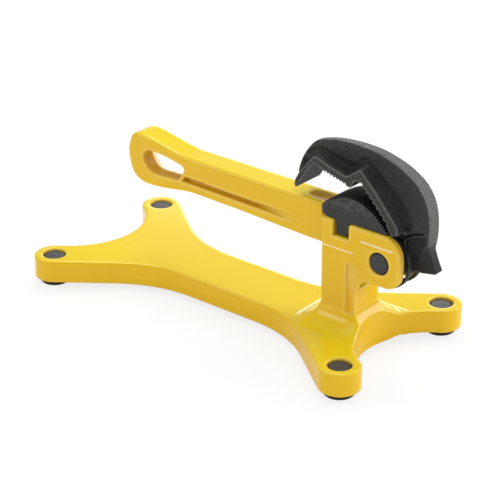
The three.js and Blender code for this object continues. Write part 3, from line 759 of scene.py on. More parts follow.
@dataclass(frozen=True)
class Head:
    """Post and forked head in millimetres, above the plate's top."""

    left: float = 92.9
    right: float = 124.6
    half: float = 17.4
    edge: float = 1.9
    pin: Pair = (147.4, 63.7)
    rise: float = 23.6
    corner: float = 17.0
    nose: float = 19.1
    drop: float = 19.0
    chin: float = 13.0
    fillet: float = 15.9
    flare: Triple = (21.0, 15.5, 1.6)
    slot_half: float = 10.8
    slot: float = 24.5
    slot_floor: float = 38.65
    slot_end: float = -150.0
    slot_rims: Pair = (0.3, 1.0)
    tenon: Triple = (103.2, 118.6, 74.5)
    tenon_rims: Pair = (0.8, 0.9)
    pin_head_bore: Pair = (9.05, 5.3)
    pin_bore: float = 8.3
    pin_rims: Pair = (0.4, 0.35)
    screw_bore: Triple = (81.8, 3.3, 0.3)
    screw_run: Pair = (-1.0, 8.0)
    recess: Sequence[Pair] = (
        (117.2, 13.5), (117.2, 55.0), (124.0, 55.3), (136.0, 56.0), (140.0, 50.0), (140.0, 13.5),
    )
    recess_depth: float = 1.7
    recess_fade: Ramp = Ramp(134.0, -12.0)
    recess_rims: Pair = (0.3, 0.4)
    lines: Sequence[tuple[float, float, float, float]] = (
        (94.4, 122.6, 65.1, 0.7), (131.4, 159.6, 77.3, 0.95),
    )

    def solid(self, foot: float) -> Solid:
        """Makes the post and head before they are cut.

        Args:
            foot: Height that the post starts at, inside the plate.

        Returns:
            The solid.
        """
        x, z = self.pin
        top, bottom, front = z + self.rise, z - self.drop, x + self.nose
        corners = np.concatenate([
            [(self.left, foot), (self.right, foot)],
            arc((self.right + self.fillet, bottom - self.fillet), self.fillet, 180, 90, 12),
            arc((front - self.chin, bottom + self.chin), self.chin, -90, 0, 12),
            arc((front - self.corner, top - self.corner), self.corner, 0, 90, 14),
            [(self.left, top)],
        ])
        return slab(corners, self.half, self.edge)

    def cuts(self) -> list[tuple[Solid, float]]:
        """Makes the slots, bores and recesses.

        Returns:
            Each cut with its rim's round.
        """
        x, z = self.pin
        above = z + self.rise + OVERRUN
        leave = -math.degrees(math.acos(-(x - self.right) / self.slot_floor))
        floor = arc(self.pin, self.slot_floor, leave, self.slot_end, 12)
        end = x + self.slot_floor
        fork = np.concatenate([
            [(end, floor[0][1])], floor, [(x - self.slot, z), (x - self.slot, above), (end, above)],
        ])
        left, right, low = self.tenon
        tenon = np.array([(left, low), (right, low), (right, above), (left, above)])
        near, far = -self.half - OVERRUN, self.half + OVERRUN
        head_bore, head_depth = self.pin_head_bore
        screw_z, screw, screw_rim = self.screw_bore
        screw_in, screw_out = self.screw_run
        cuts = [
            (slab(fork, self.slot_half, self.slot_rims[0]), self.slot_rims[1]),
            (slab(tenon, self.half + OVERRUN, self.tenon_rims[0]), self.tenon_rims[1]),
            (round_bar(Axis.Y, (x, 0, z), self.pin_bore, near, far), self.pin_rims[0]),
            (round_bar(Axis.Y, (x, 0, z), head_bore, near, head_depth - self.half), self.pin_rims[1]),
            (round_bar(Axis.X, (0, 0, screw_z), screw, right + screw_in, right + screw_out), screw_rim),
        ]
        inner, outer = self.recess_rims

        for face in (-self.half, self.half):

            def across(p: Points, face: float = face) -> np.ndarray:
                """Distance to the recess, whose depth fades towards the nose."""
                return np.abs(p[:, 1] - face) - self.recess_depth * self.recess_fade.at(p[:, 0])

            cuts.append((prism(np.array(self.recess), across, face, self.recess_depth, inner), outer))
        return cuts


HANDLE_TOP: Sequence[Pair] = (
    (0.3, 1), (0.5, 1), (0.691, 1), (0.722, 1.012), (0.768, 1.05), (0.822, 1.116), (0.875, 1.181),
    (0.928, 1.228), (0.962, 1.205), (0.986, 1.065), (1, 0.724), (0.993, 0.407), (0.976, 0.154),
    (0.946, 0.009), (0.904, -0.052), (0.826, -0.021), (0.746, 0.05), (0.691, 0.1), (0.614, 0.107),
    (0.512, 0.092), (0.435, 0.086), (0.314, 0.056), (0.116, 0.009), (0, 0),
)
LOOP_HOLE: Sequence[Pair] = (
    (0.917, 0.611), (0.913, 0.727), (0.9, 0.825), (0.878, 0.865), (0.856, 0.863), (0.811, 0.849),
    (0.767, 0.806), (0.72, 0.742), (0.705, 0.697), (0.706, 0.591), (0.728, 0.39), (0.743, 0.341),
    (0.8, 0.323), (0.868, 0.32), (0.898, 0.421),
)
GROOVE: Sequence[Pair] = (
    (0.7, 0.484), (0.575, 0.478), (0.391, 0.445), (0.294, 0.445), (0.048, 0.43), (0.048, 0.252),
    (0.145, 0.267), (0.241, 0.3), (0.449, 0.32), (0.716, 0.344),
)


@dataclass(frozen=True)
class Handle:
    """Handle with its loop in millimetres, which runs left from the post."""

    root: float = 92.9
    length: float = 206.8
    depth: float = 33.7
    floor: float = 62.1
    half: float = 12.0
    edge: float = 3.0
    tongue: Triple = (8.0, 2.2, 86.2)
    hole_flare: Pair = (0.175, 0.3)
    hole_room: Pair = (9.0, 7.0)
    hole_rim: float = 1.3
    groove: float = 5.5
    groove_fade: Ramp = Ramp(78.0, -58.0)
    groove_bend: float = 1.5
    groove_rims: Pair = (1.0, 0.5)
    dip: Triple = (84.0, -0.5, 98.6)
    dip_half: Triple = (16.0, 9.0, 4.0)
    dip_rim: float = 1.2
    # Painted shade in the dip on the top: centre, half sizes, edge and least height; the loop's painted shade
    # follows.
    stain: Pair = (83.0, -0.5)
    stain_half: Pair = (15.0, 8.0)
    stain_edge: Pair = (1.15, 2.2)
    stain_low: float = 91.0
    shade: tuple[float, float, float, float] = (0.75, 0.07, 0.15, 0.85)
    shade_lips: Triple = (0.8, 0.6, 2.1)
    join: float = 2.2

    def place(self, shares: Sequence[Pair]) -> np.ndarray:
        """Places on the handle from shares of its length and depth."""
        p = np.array(shares, float)
        return np.stack([self.root - p[:, 0] * self.length, self.floor + p[:, 1] * self.depth], 1)

    def hole_line(self) -> np.ndarray:
        """Outline of the hanging hole on the near face."""
        return smooth_line(self.place(LOOP_HOLE), 3, closed=True)

    def opening(self) -> Solid:
        """Makes what the hanging hole takes away, which widens to the far face.

        Returns:
            The solid to carve away.
        """
        hole = self.hole_line()
        right, top = hole.max(0)

        def distance(p: Points) -> np.ndarray:
            """Distance to the opening."""
            far = np.maximum(p[:, 1], 0) / self.half
            u = right + (p[:, 0] - right) / (1 + self.hole_flare[0] * far)
            v = top + (p[:, 2] - top) / (1 + self.hole_flare[1] * far)
            return outline_distance(u, v, hole)

        low, reach = hole.min(0) - self.hole_room, self.half + OVERRUN
        return Solid(distance, (low[0], -reach, low[1]), (right, reach, top))

    def channel(self) -> Solid:
        """Makes what the grooves on both sides take away, deepest near the loop.

        Returns:
            The solid to carve away.
        """

        def across(p: Points) -> np.ndarray:
            """Distance to the grooves across the handle."""
            deep = self.groove * self.groove_fade.at(p[:, 0]) ** self.groove_bend
            return self.half - deep - np.abs(p[:, 1])

        return prism(self.place(GROOVE), across, 0, self.half + OVERRUN, self.groove_rims[0])

    def scoop(self) -> Solid:
        """Makes the round that the dip on the top takes away.

        Returns:
            The solid to carve away.
        """
        centre, half = np.array(self.dip), np.array(self.dip_half)

        def distance(p: Points) -> np.ndarray:
            """Distance to the round."""
            return (np.linalg.norm((p - centre) / half, axis=1) - 1) * self.dip_half[2]

        return Solid(distance, tuple(centre - half), tuple(centre + half))

    def solid(self) -> Solid:
        """Makes the handle before it joins the post.

        Returns:
            The solid.
        """
        inner, gap, step = self.tongue
        root, left = self.root + inner, self.root - gap
        tongue = [(root, self.floor), (root, step), (left, step), (left, self.floor + self.depth)]
        line = smooth_line(self.place(HANDLE_TOP), 3)
        body = slab(np.concatenate([tongue, line]), self.half, self.edge)
        body = body.carve(self.opening(), self.hole_rim).carve(self.channel(), self.groove_rims[1])
        return body.carve(self.scoop(), self.dip_rim)

    def dusk(self, x: np.ndarray, y: np.ndarray, z: np.ndarray) -> np.ndarray:
        """Says where painted shade darkens the paint: in the dip and in the loop.

        Args:
            x: Places along the stand.
            y: Places across the stand.
            z: Heights.

        Returns:
            Darkness of each place, from zero to one.
        """
        reach = ((x - self.stain[0]) / self.stain_half[0]) ** 2
        reach += ((y - self.stain[1]) / self.stain_half[1]) ** 2
        edge, blur = self.stain_edge
        dip = np.clip((edge - reach) * blur, 0, 1) * (z > self.stain_low)
        past, lip, below = self.shade_lips
        inside = (outline_distance(x, z, self.hole_line()) < past) & (np.abs(y) < self.half - lip)
        inside &= z > self.floor - below
        start, fall, least, most = self.shade
        return np.maximum(dip, inside * np.clip(start - y * fall, least, most))


@dataclass(frozen=True)
class Casting:
    """Stand, post, head and handle as one casting, with its raised lines."""

    plate: Plate
    head: Head
    handle: Handle
    # Painted shade on the nose beside the hook: distance past the pin, lip and least height.
    nose: Triple = (8.0, 0.8, 40.0)
    nose_dusk: float = 0.4
    wave: Triple = (0.06, 0.9, 0.1)
    step: Pair = (1.2, 2.4)
    rim: float = 3.0
    hollow: float = 4.0

    def solid(self) -> Solid:
        """Makes the whole casting.

        Returns:
            The solid.
        """
        plate, prism = self.plate.solids()
        post = self.head.solid(-self.plate.thick / 2)
        body = flared(plate, post, *self.head.flare).inside(prism).join(post)
        body = body.join(self.handle.solid(), self.handle.join)
        for cut, rim in [*self.plate.cuts(), *self.head.cuts()]:
            body = body.carve(cut, rim)
        return body

    def show(self, bench: Bench) -> None:
        """Shows the casting and the raised lines on both faces of the head.

        Args:
            bench: Where the pieces go.
        """
        made = skin(self.solid(), self.step[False], self.rim, self.hollow)
        x, y, z = made.places.T
        past, lip, low = self.nose
        nose = (x > self.head.pin[0] + past) & (np.abs(y) < self.head.half - lip) & (z > low)
        # Painted shade in the handle's dip and loop and on the nose beside the hook.
        made.marks[Mark.DUSK] = np.maximum(self.handle.dusk(x, y, z), self.nose_dusk * nose)
        nodes = ("frame_casting", "handle_casting")
        bench.place("casting", made, bench.shift, Slot.PAINT, Body.FRAME, *nodes)
        swing, turn, sink = self.wave
        for level, (start, end, height, radius) in enumerate(self.head.lines):
            for side, name in ((-1, "near"), (1, "far")):
                along = np.linspace(start, end, 24)
                wave = height + swing * np.sin(along * turn + level)
                face = np.full(len(along), side * (self.head.half - sink))
                made = wire_skin(np.stack([along, face, wave], 1), radius)
                # The raised lines carry a painted highlight.
                made.marks[Mark.LINE] = np.ones(len(made.places))
                bench.place(f"line_{level}_{name}", made, bench.shift, Slot.PAINT, Body.FRAME)


# Jaws


HOOK_BACK: Sequence[Pair] = (
    (-1.032, 0.527), (-1.029, 0.568), (-1.004, 0.649), (-0.964, 0.731), (-0.91, 0.806),
    (-0.843, 0.876), (-0.768, 0.91), (-0.667, 0.936), (-0.563, 0.954), (-0.462, 0.9605),
    (-0.365, 0.9634), (-0.27, 0.9595), (-0.174, 0.951), (-0.081, 0.933), (0.012, 0.907),
    (0.105, 0.874), (0.194, 0.828), (0.279, 0.771), (0.347, 0.694), (0.395, 0.605), (0.42, 0.506),
    (0.429, 0.406), (0.427, 0.309), (0.418, 0.235),
)
HOOK_INNER: Sequence[Pair] = (
    (0.41, 0.2), (0.378, 0.19), (0.382, 0.231), (0.388, 0.268), (0.392, 0.316), (0.373, 0.348),
    (0.324, 0.336), (0.138, 0.262),
)
HOOK_LIP: Sequence[Pair] = (
    (0.245, 0.368), (0.23, 0.442), (0.181, 0.544), (0.029, 0.655), (-0.088, 0.738),
    (-0.206, 0.831), (-0.253, 0.866), (-0.299, 0.862), (-0.345, 0.831), (-0.39, 0.78),
    (-0.555, 0.808), (-0.686, 0.831), (-0.769, 0.838), (-0.865, 0.797), (-0.936, 0.735),
    (-0.965, 0.62), (-0.975, 0.51),
)
HOOK_TAB: Sequence[Pair] = (
    (0.39, 0.25), (0.424, 0.215), (0.428, 0.175), (0.449, 0.124), (0.471, 0.071), (0.5, 0.014),
    (0.5015, 0.002), (0.49, -0.009), (0.46, -0.012), (0.41, -0.022), (0.339, -0.036), (0.3, 0.08),
    (0.34, 0.2),
)
HOOK_WEB: Sequence[Pair] = (
    (-0.97, 0.5), (-1.0, 0.53), (-0.985, 0.64), (-0.93, 0.76), (-0.84, 0.85), (-0.74, 0.9),
    (-0.44, 0.94), (-0.1, 0.91), (0.17, 0.79), (0.33, 0.62), (0.4, 0.44), (0.41, 0.3), (0.41, 0.2),
    (0.44, 0.1), (0.475, -0.006), (0.339, -0.03), (0.208, -0.072), (0, 0), (0.1, 0.277),
    (0.12, 0.345), (-0.2, 0.7), (-0.28, 0.74), (-0.41, 0.67), (-0.7, 0.76), (-0.84, 0.64),
)
FLANGE_BACK: Sequence[Pair] = (
    (0.168, 0.303), (0.164, 0.367), (0.111, 0.436), (-0.069, 0.637), (-0.249, 0.809),
    (-0.322, 0.755), (-0.394, 0.705), (-0.573, 0.748), (-0.7, 0.792), (-0.758, 0.794),
    (-0.839, 0.703), (-0.919, 0.598), (-0.955, 0.536), (-0.967, 0.482),
)
BEAK_TIP: Pair = (-0.944, 0.449)
GRIP_APEX: Pair = (-0.756, 0.716)
GRIP_END: Pair = (-0.376, 0.615)
NOTCH: Sequence[Pair] = ((-0.353, 0.608), (-0.329, 0.63), (-0.312, 0.679), (-0.26, 0.693))
BITE: tuple[Pair, Pair] = ((-0.236, 0.668), (0.07, 0.345))
FLANGE_END: Pair = (0.1, 0.285)
HEEL_CROWN: Sequence[Pair] = (
    (-0.631, 0.41), (-0.509, 0.476), (-0.401, 0.513), (-0.324, 0.518), (-0.237, 0.503),
    (-0.15, 0.469), (-0.073, 0.424), (-0.005, 0.367), (0.066, 0.295),
)
HEEL_TOE: Sequence[Pair] = ((-0.645, 0.392), (-0.652, 0.365), (-0.652, 0.33), (-0.645, 0.3), (-0.6, 0.278))


def teeth(start: np.ndarray, end: np.ndarray, pitch: float, depth: float) -> np.ndarray:
    """Draws a row of teeth.

    Args:
        start: Where the row starts.
        end: Where it ends.
        pitch: Distance from tooth to tooth, fitted to the row.
        depth: Depth of the roots, on the row's left side.

    Returns:
        Corners of the teeth, without the end.
    """
    line = end - start
    length = float(np.hypot(*line))
    count = max(1, round(length / pitch))
    along = line / length
    left = np.array((-along[1], along[0]))
    made = []
    for i in range(count):
        made.append(start + along * (i / count) * length + left * depth)
        made.append(start + along * ((i + 0.45) / count) * length)
    return np.array(made)


@dataclass(frozen=True)
class Jaw:
    """What both jaws share in millimetres, drawn from the pin."""

    reach: float = 86.1
    rise: float = 87.0
    half: float = 15.0

    def place(self, shares: Sequence[Pair]) -> np.ndarray:
        """Places from the pin, from shares of the reach and rise."""
        return np.array(shares, float) * (self.reach, self.rise)


@dataclass(frozen=True)
class Hook(Jaw):
    """Hook jaw: a forging with a back band, a web, a toothed flange, a tab and a hub."""

    web: float = 3.6
    web_lip: float = 1.0
    band: Pair = (2.9, 7.1)
    band_taper: Ramp = Ramp(-85.4, 125.0, 0.0, 1.05)
    tab: float = 4.5
    hub: float = 16.0
    hub_half: float = 10.5
    hub_bore: float = 10.6
    bore_rim: float = 0.4
    grip_pitch: float = 3.1
    bite_pitch: float = 5.0
    tooth: float = 1.5
    bite_tooth: float = 1.725
    edges: tuple[float, float, float, float, float] = (1.3, 0.5, 0.5, 1.2, 0.8)
    joins: tuple[float, float, float, float] = (1.6, 1.5, 2.2, 2.0)
    wall: Pair = (0.5, 0.9)
    # Painted highlight on the back band.
    shine: Triple = (22.0, 32.0, 1.25)
    shine_least: float = 0.3
    shine_rise: Ramp = Ramp(8.0, 45.0, 0.35)
    # Painted shade at the root and the beak.
    root_down: Ramp = Ramp(28.0, -22.0)
    root_along: Ramp = Ramp(12.0, 12.0)
    beak_along: Ramp = Ramp(-66.0, -10.0)
    beak_top: float = 60.0
    beak_soot: float = 0.7
    step: Pair = (0.62, 1.3)
    rim: float = 1.4
    hollow: float = 3.0

    def band_half(self, x: np.ndarray) -> np.ndarray:
        """Half width of the band, which grows from the beak to the tail."""
        thin, thick = self.band
        return thin + (thick - thin) * self.band_taper.at(x)

    def past_band(self, p: Points) -> np.ndarray:
        """Distance across the band."""
        return np.abs(p[:, 1]) - self.band_half(p[:, 0])

    def past_web(self, p: Points) -> np.ndarray:
        """Distance across the web, which always stays inside the band."""
        return np.maximum(np.abs(p[:, 1]) - self.web, self.past_band(p) + self.web_lip)

    def flange_line(self) -> np.ndarray:
        """Draws the flange with its two toothed grips and its toothed bite.

        Returns:
            Corners of the outline.
        """
        tip, apex, end = self.place((BEAK_TIP, GRIP_APEX, GRIP_END))
        return np.concatenate([
            teeth(tip, apex, self.grip_pitch, self.tooth),
            teeth(apex, end, self.grip_pitch, self.tooth),
            self.place(NOTCH),
            teeth(*self.place(BITE), self.bite_pitch, self.bite_tooth),
            self.place([FLANGE_END, *FLANGE_BACK]),
        ])

    def solid(self) -> Solid:
        """Makes the whole forging.

        Returns:
            The solid.
        """
        band_line = np.concatenate([
            smooth_line(self.place(HOOK_BACK), 3),
            self.place(HOOK_INNER),
            smooth_line(self.place(HOOK_LIP), 2),
        ])
        band_edge, flange_edge, web_edge, tab_edge, hub_edge = self.edges
        body = prism(band_line, self.past_band, 0, self.band[1] * self.band_taper.high, band_edge)
        parts = (
            prism(self.place(HOOK_WEB), self.past_web, 0, self.web, web_edge),
            slab(self.place(HOOK_TAB), self.tab, tab_edge),
            slab(self.flange_line(), self.half, flange_edge),
            round_bar(Axis.Y, (0, 0, 0), self.hub, -self.hub_half, self.hub_half, hub_edge),
        )
        for part, radius in zip(parts, self.joins):
            body = body.join(part, radius)
        reach = self.half + OVERRUN
        return body.carve(round_bar(Axis.Y, (0, 0, 0), self.hub_bore, -reach, reach), self.bore_rim)

    def show(self, bench: Bench) -> None:
        """Shows the hook, with a painted highlight on its back and painted shade at its root and beak.

        Args:
            bench: Where the piece goes.
        """
        made = skin(self.solid(), self.step[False], self.rim, self.hollow)
        x, y, z = made.places.T
        # Painted highlight on the back band, brightest near its top.
        near, lip = self.wall
        wall = np.abs(outline_distance(x, z, smooth_line(self.place(HOOK_BACK), 3), 1)) < near
        inner = np.abs(y) < self.band_half(x) - lip
        centre, reach, most = self.shine
        bright = np.clip(most - ((x - centre) / reach) ** 2, self.shine_least, most)
        made.marks[Mark.BACK] = (wall & inner) * (bright * self.shine_rise.at(z))
        # Painted shade at the root near the hub and at the beak.
        root = self.root_down.at(z) * self.root_along.at(x) * (1 - wall)
        beak_shade = self.beak_soot * self.beak_along.at(x) * (z < self.beak_top)
        made.marks[Mark.DUSK] = np.maximum(root, beak_shade)
        bench.place("hook", made, bench.pin, Slot.FORGING, Body.HOOK, "hook_jaw")


@dataclass(frozen=True)
class Heel(Jaw):
    """Heel jaw: a block with a toothed crown, ground sides and a tenon in the head's slot."""

    head: Head = field(kw_only=True)
    pitch: float = 2.4
    tooth: float = 1.6
    seat: float = 23.9
    ledge: float = 33.4
    above: Sequence[Pair] = ((-80.0, 0.0), (30.0, -0.4), (30.0, 26.6), (-80.0, 26.6))
    ground: float = 0.45
    ground_rim: float = 0.25
    gaps: Triple = (1.9, 1.0, 1.8)
    tenon_right: Sequence[Pair] = ((-1.2, 3.2), (-2.2, 0.9), (-4.4, 0.0))
    tenon_left: Sequence[Pair] = ((3.2, 0.0), (1.0, 0.9), (0.0, 3.2))
    edge: float = 0.35
    screw: Triple = (18.1, 3.3, 9.3)
    ground_lip: float = 0.7
    crown: Pair = (12.0, 0.5)
    # Painted shade across the crown: start, fall per millimetre across and least.
    soot: Triple = (0.62, 0.024, 0.3)
    depth: float = 1.5
    # Strength of the painted shade in hollows.
    step: Pair = (0.38, 0.8)
    rim: float = 0.9
    hollow: float = 1.6

    def crown_line(self) -> np.ndarray:
        """Draws the toothed crown.

        Returns:
            Corners of the teeth along the crown.
        """
        crown = smooth_line(self.place(HEEL_CROWN), 12)
        run = np.concatenate([[0], np.cumsum(np.hypot(*np.diff(crown, axis=0).T))])
        count = 2 * round(run[-1] / self.pitch)
        at = np.linspace(0, run[-1], count + 1)
        line = np.stack([np.interp(at, run, crown[:, i]) for i in (0, 1)], 1)
        along = np.gradient(line, axis=0)
        along /= np.linalg.norm(along, axis=1, keepdims=True)
        drop = np.where(np.arange(count + 1) % 2, 0, self.tooth)[:, None]
        return line + np.stack([along[:, 1], -along[:, 0]], 1) * drop

    def solid(self) -> Solid:
        """Makes the whole block.

        Returns:
            The solid.
        """
        ridge = self.crown_line()
        x, z = self.head.pin
        left, right, low = self.head.tenon[0] - x, self.head.tenon[1] - x, self.head.tenon[2] - z
        a, b, c = left + self.gaps[0], right - self.gaps[1], low + self.gaps[2]
        corners = np.concatenate([
            self.place(HEEL_TOE)[::-1],
            ridge,
            [(ridge[-1][0], self.seat), (b, self.seat)],
            np.array(self.tenon_right) + (b, c),
            np.array(self.tenon_left) + (a, c),
            [(a, self.seat)],
        ])
        body = slab(corners, self.half, self.edge)
        above = np.array(self.above) + (0, self.ledge)
        for face in (-self.half, self.half):
            body = body.carve(slab(above, self.ground, 0, face), self.ground_rim)
        screw_z, screw, screw_length = self.screw
        return body.carve(
            round_bar(Axis.X, (0, 0, screw_z), screw, right - screw_length, right + 2 * OVERRUN)
        )

    def show(self, bench: Bench) -> None:
        """Shows the heel, with its ground sides and painted shade on its crown and between its teeth.

        Args:
            bench: Where the piece goes.
        """
        made = skin(self.solid(), self.step[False], self.rim, self.hollow)
        _, y, z = made.places.T
        ground = (z > self.ledge) & (np.abs(y) > self.half - self.ground_lip)
        made.marks[Mark.GROUND] = ground.astype(float)
        # Painted shade on the crown, darker towards the near side, added to the painted shade in hollows.
        below, lip = self.crown
        crown = (z > self.ledge - below) & (np.abs(y) < self.half - lip)
        start, fall, least = self.soot
        soot = np.clip(start - y * fall, least, 1) * crown
        made.marks[Mark.HOLLOW] = np.clip(made.marks[Mark.HOLLOW] * self.depth + soot, 0, 1)
        bench.place("heel", made, bench.pin, Slot.HEEL, Body.FRAME, "heel_jaw")


# Springs, pin and feet


@dataclass(frozen=True)
class Springs:
    """Two wound return springs in millimetres, drawn from the pin."""

    head: Head
    wire: float = 2.2
    coil: float = 21.4
    inner: float = 5.3
    outer: float = 9.4
    turns: float = 1.0
    ends: Pair = (57.0, -168.0)
    steps: int = 150
    lead: int = 3
    gap: float = 0.4
    ledge: Sequence[Pair] = ((33.4, 29.6), (31.5, 28.2), (26.5, 26.6), (20.5, 24.0), (15.5, 21.0))
    tail: tuple[Triple, Triple] = ((-0.6, 0, -5.0), (-1.0, 0, -9.0))

    def path(self, side: int) -> np.ndarray:
        """Draws a spring: along the hook's ledge, round the hub, to the slot's wall.

        Args:
            side: Minus one for the near spring and one for the far one.

        Returns:
            Places along the wire.
        """
        leave, back = self.ends
        turn = np.radians(leave - np.linspace(0, leave - back + 360 * self.turns, self.steps))
        y = side * np.linspace(self.inner, self.outer, self.steps)
        coil = np.stack([self.coil * np.cos(turn), y, self.coil * np.sin(turn)], 1)
        ledge = np.array(self.ledge)
        leg = np.stack([ledge[:, 0], np.full(len(ledge), side * (self.inner + self.gap)), ledge[:, 1]], 1)
        start = smooth_3d(np.concatenate([leg, coil[self.lead : self.lead + 1]]), 8)
        tail = coil[-1] + np.array(self.tail)
        tail[:, 0] = np.maximum(tail[:, 0], -self.head.slot + self.wire / 2 + self.gap)
        return np.concatenate([start[:-1], coil[self.lead :], tail])

    def show(self, bench: Bench) -> None:
        """Shows both springs.

        Args:
            bench: Where the pieces go.
        """
        for side, name in ((-1, "spring_left"), (1, "spring_right")):
            made = wire_skin(self.path(side), self.wire / 2)
            shown = bench.mesh(f"{name}_wire", made, bench.pin, Slot.SPRING)
            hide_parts(name)
            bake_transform(shown)


@dataclass(frozen=True)
class Pin:
    """Pivot pin: radii in millimetres, and places out from the head's near and far faces."""

    head: Head
    near: Sequence[Pair] = (
        (0, -0.1), (7.6, -0.1), (8.0, -0.3), (8.2, -1.0), (8.75, -1.1), (8.75, -5.0), (8.0, -5.0),
    )
    far: Sequence[Pair] = (
        (8.0, 2.2), (7.1, 2.2), (7.1, 4.0), (8.0, 4.0), (8.0, 4.5), (7.4, 5.0), (0, 5.0),
    )
    # Radii of the ring that gets painted shade.
    dark: Pair = (7.9, 9.0)

    def show(self, bench: Bench) -> None:
        """Shows the pin.

        Args:
            bench: Where the piece goes.
        """
        profile = [(r, -self.head.half - out) for r, out in self.near]
        profile += [(r, self.head.half + out) for r, out in self.far]
        made = turned_skin(profile, Axis.Y, self.dark)
        bench.place("pin", made, bench.pin, Slot.PIN, Body.FRAME, "pivot_pin")


@dataclass(frozen=True)
class Feet:
    """Rubber feet, measured from the plate's underside, and plugs, measured from its top."""

    plate: Plate
    rubber: Sequence[Pair] = (
        (0, -5.4), (9.2, -5.4), (9.6, -5.0), (11.2, -5.0), (12.1, -4.2), (12.5, -3.2), (12.5, -0.3),
        (8.3, -0.3), (8.3, -2.1), (0, -2.1),
    )
    plug: Sequence[Pair] = (
        (0, -3.1), (7.3, -3.1), (7.3, -5.5), (9.4, -5.5), (9.4, -2.5), (8.9, -2.4), (8.4, -2.3),
        (8.3, -1.7), (7.9, -1.45), (7.2, -1.4), (0, -1.2),
    )
    # Radii of the ring that gets painted shade.
    dark: Pair = (8.32, 9.6)

    def show(self, bench: Bench) -> None:
        """Shows a foot and a plug at each pad.

        Args:
            bench: Where the pieces go.
        """
        rubber = turned_skin([(r, z - self.plate.thick) for r, z in self.rubber], Axis.Z)
        plug = turned_skin(self.plug, Axis.Z, self.dark)
        for along, sx in (("left", -1), ("right", 1)):
            for across, sy in (("front", -1), ("rear", 1)):
                name = f"{across}_{along}"
                offset = bench.shift + (sx * self.plate.foot_x, sy * self.plate.foot_y, 0)
                bench.place(f"rubber_{name}", rubber, offset, Slot.RUBBER, Body.FRAME, f"foot_{name}")
                bench.place(f"plug_{name}", plug, offset, Slot.PLUG, Body.FRAME, f"hole_plug_{name}")


# Materials


class Socket:
    """Output of a node that sums and products can be written with."""

    def __init__(self, graph: "Graph", output: bpy.types.NodeSocket | None) -> None:
        """Keeps the graph and the output."""
        self.graph = graph
        self.output = output

    def _do(self, kind: str, *values: "Socket | float") -> "Socket":
        """Math node of a kind on the values."""
        return self.graph.add("ShaderNodeMath", {"operation": kind}, *values)

    def __add__(self, other: "Socket | float") -> "Socket":
        """Sum of both."""
        return self._do("ADD", self, other)

    def __sub__(self, other: "Socket | float") -> "Socket":
        """This without the other."""
        return self._do("SUBTRACT", self, other)

    def __rsub__(self, other: float) -> "Socket":
        """The other without this."""
        return self._do("SUBTRACT", other, self)

    def __mul__(self, other: "Socket | float") -> "Socket":
        """Product of both."""
        return self._do("MULTIPLY", self, other)

    __radd__ = __add__
    __rmul__ = __mul__

    def clamp(self) -> "Socket":
        """Value held between zero and one."""
        return self.graph.add("ShaderNodeClamp", {}, self)

    def ramp(self, low: float, high: float) -> "Socket":
        """Zero at low, one at high, smooth between."""
        return self.graph.add("ShaderNodeMapRange", {"interpolation_type": "SMOOTHSTEP"}, self, low, high)


class Graph:
    """Node tree of a material or world."""

    def __init__(self, tree: bpy.types.NodeTree) -> None:
        """Takes a tree and empties it."""
        self.tree = tree
        tree.nodes.clear()

    def add(self, kind: str, settings: dict, *values: object, out: int | str = 0, **named: object) -> Socket:
        """Adds a node.

        Args:
            kind: Node type.
            settings: Properties set before the inputs.
            values: Values or links of the first inputs, with None for one that stays as it is.
            out: Output that is handed back.
            named: Values or links of inputs by name, with underscores for spaces.

        Returns:
            The chosen output.
        """
        node = self.tree.nodes.new(kind)
        for key, value in settings.items():
            setattr(node, key, value)
        inputs = [(node.inputs[i], v) for i, v in enumerate(values)]
        inputs += [(node.inputs[key.replace("_", " ")], v) for key, v in named.items()]
        for socket, value in inputs:
            if isinstance(value, Socket):
                self.tree.links.new(value.output, socket)
            elif isinstance(value, tuple) and socket.type == "RGBA":
                socket.default_value = (*value, 1)
            elif value is not None:
                socket.default_value = value
        return Socket(self, node.outputs[out] if len(node.outputs) else None)

    def mix(self, share: Socket | float, a: Socket | Triple, b: Socket | Triple) -> Socket:
        """Colour between two colours, whose sockets come after those for numbers and vectors."""
        return self.add("ShaderNodeMix", {"data_type": "RGBA"}, share, *[None] * 5, a, b, out=2)

    def noise(self, scale: float, detail: float = 2, rough: float = 0.5) -> Socket:
        """Noise between zero and one at a scale per metre."""
        where = self.add("ShaderNodeTexCoord", {}, out="Object")
        return self.add("ShaderNodeTexNoise", {}, Vector=where, Scale=scale, Detail=detail, Roughness=rough)

    def mark(self, mark: Mark) -> Socket:
        """Value that a mesh carries at its points."""
        return self.add("ShaderNodeAttribute", {"attribute_name": mark.value}, out="Fac")

    def upward(self) -> Socket:
        """How far the surface faces up, from minus one to one."""
        normal = self.add("ShaderNodeTexCoord", {}, out="Normal")
        return self.add("ShaderNodeSeparateXYZ", {}, normal, out="Z")

    def bump(self, height: Socket, reach: float) -> Socket:
        """Normal of a rough surface whose height spans reach metres."""
        return self.add("ShaderNodeBump", {}, Strength=1.0, Distance=reach, Height=height, out="Normal")


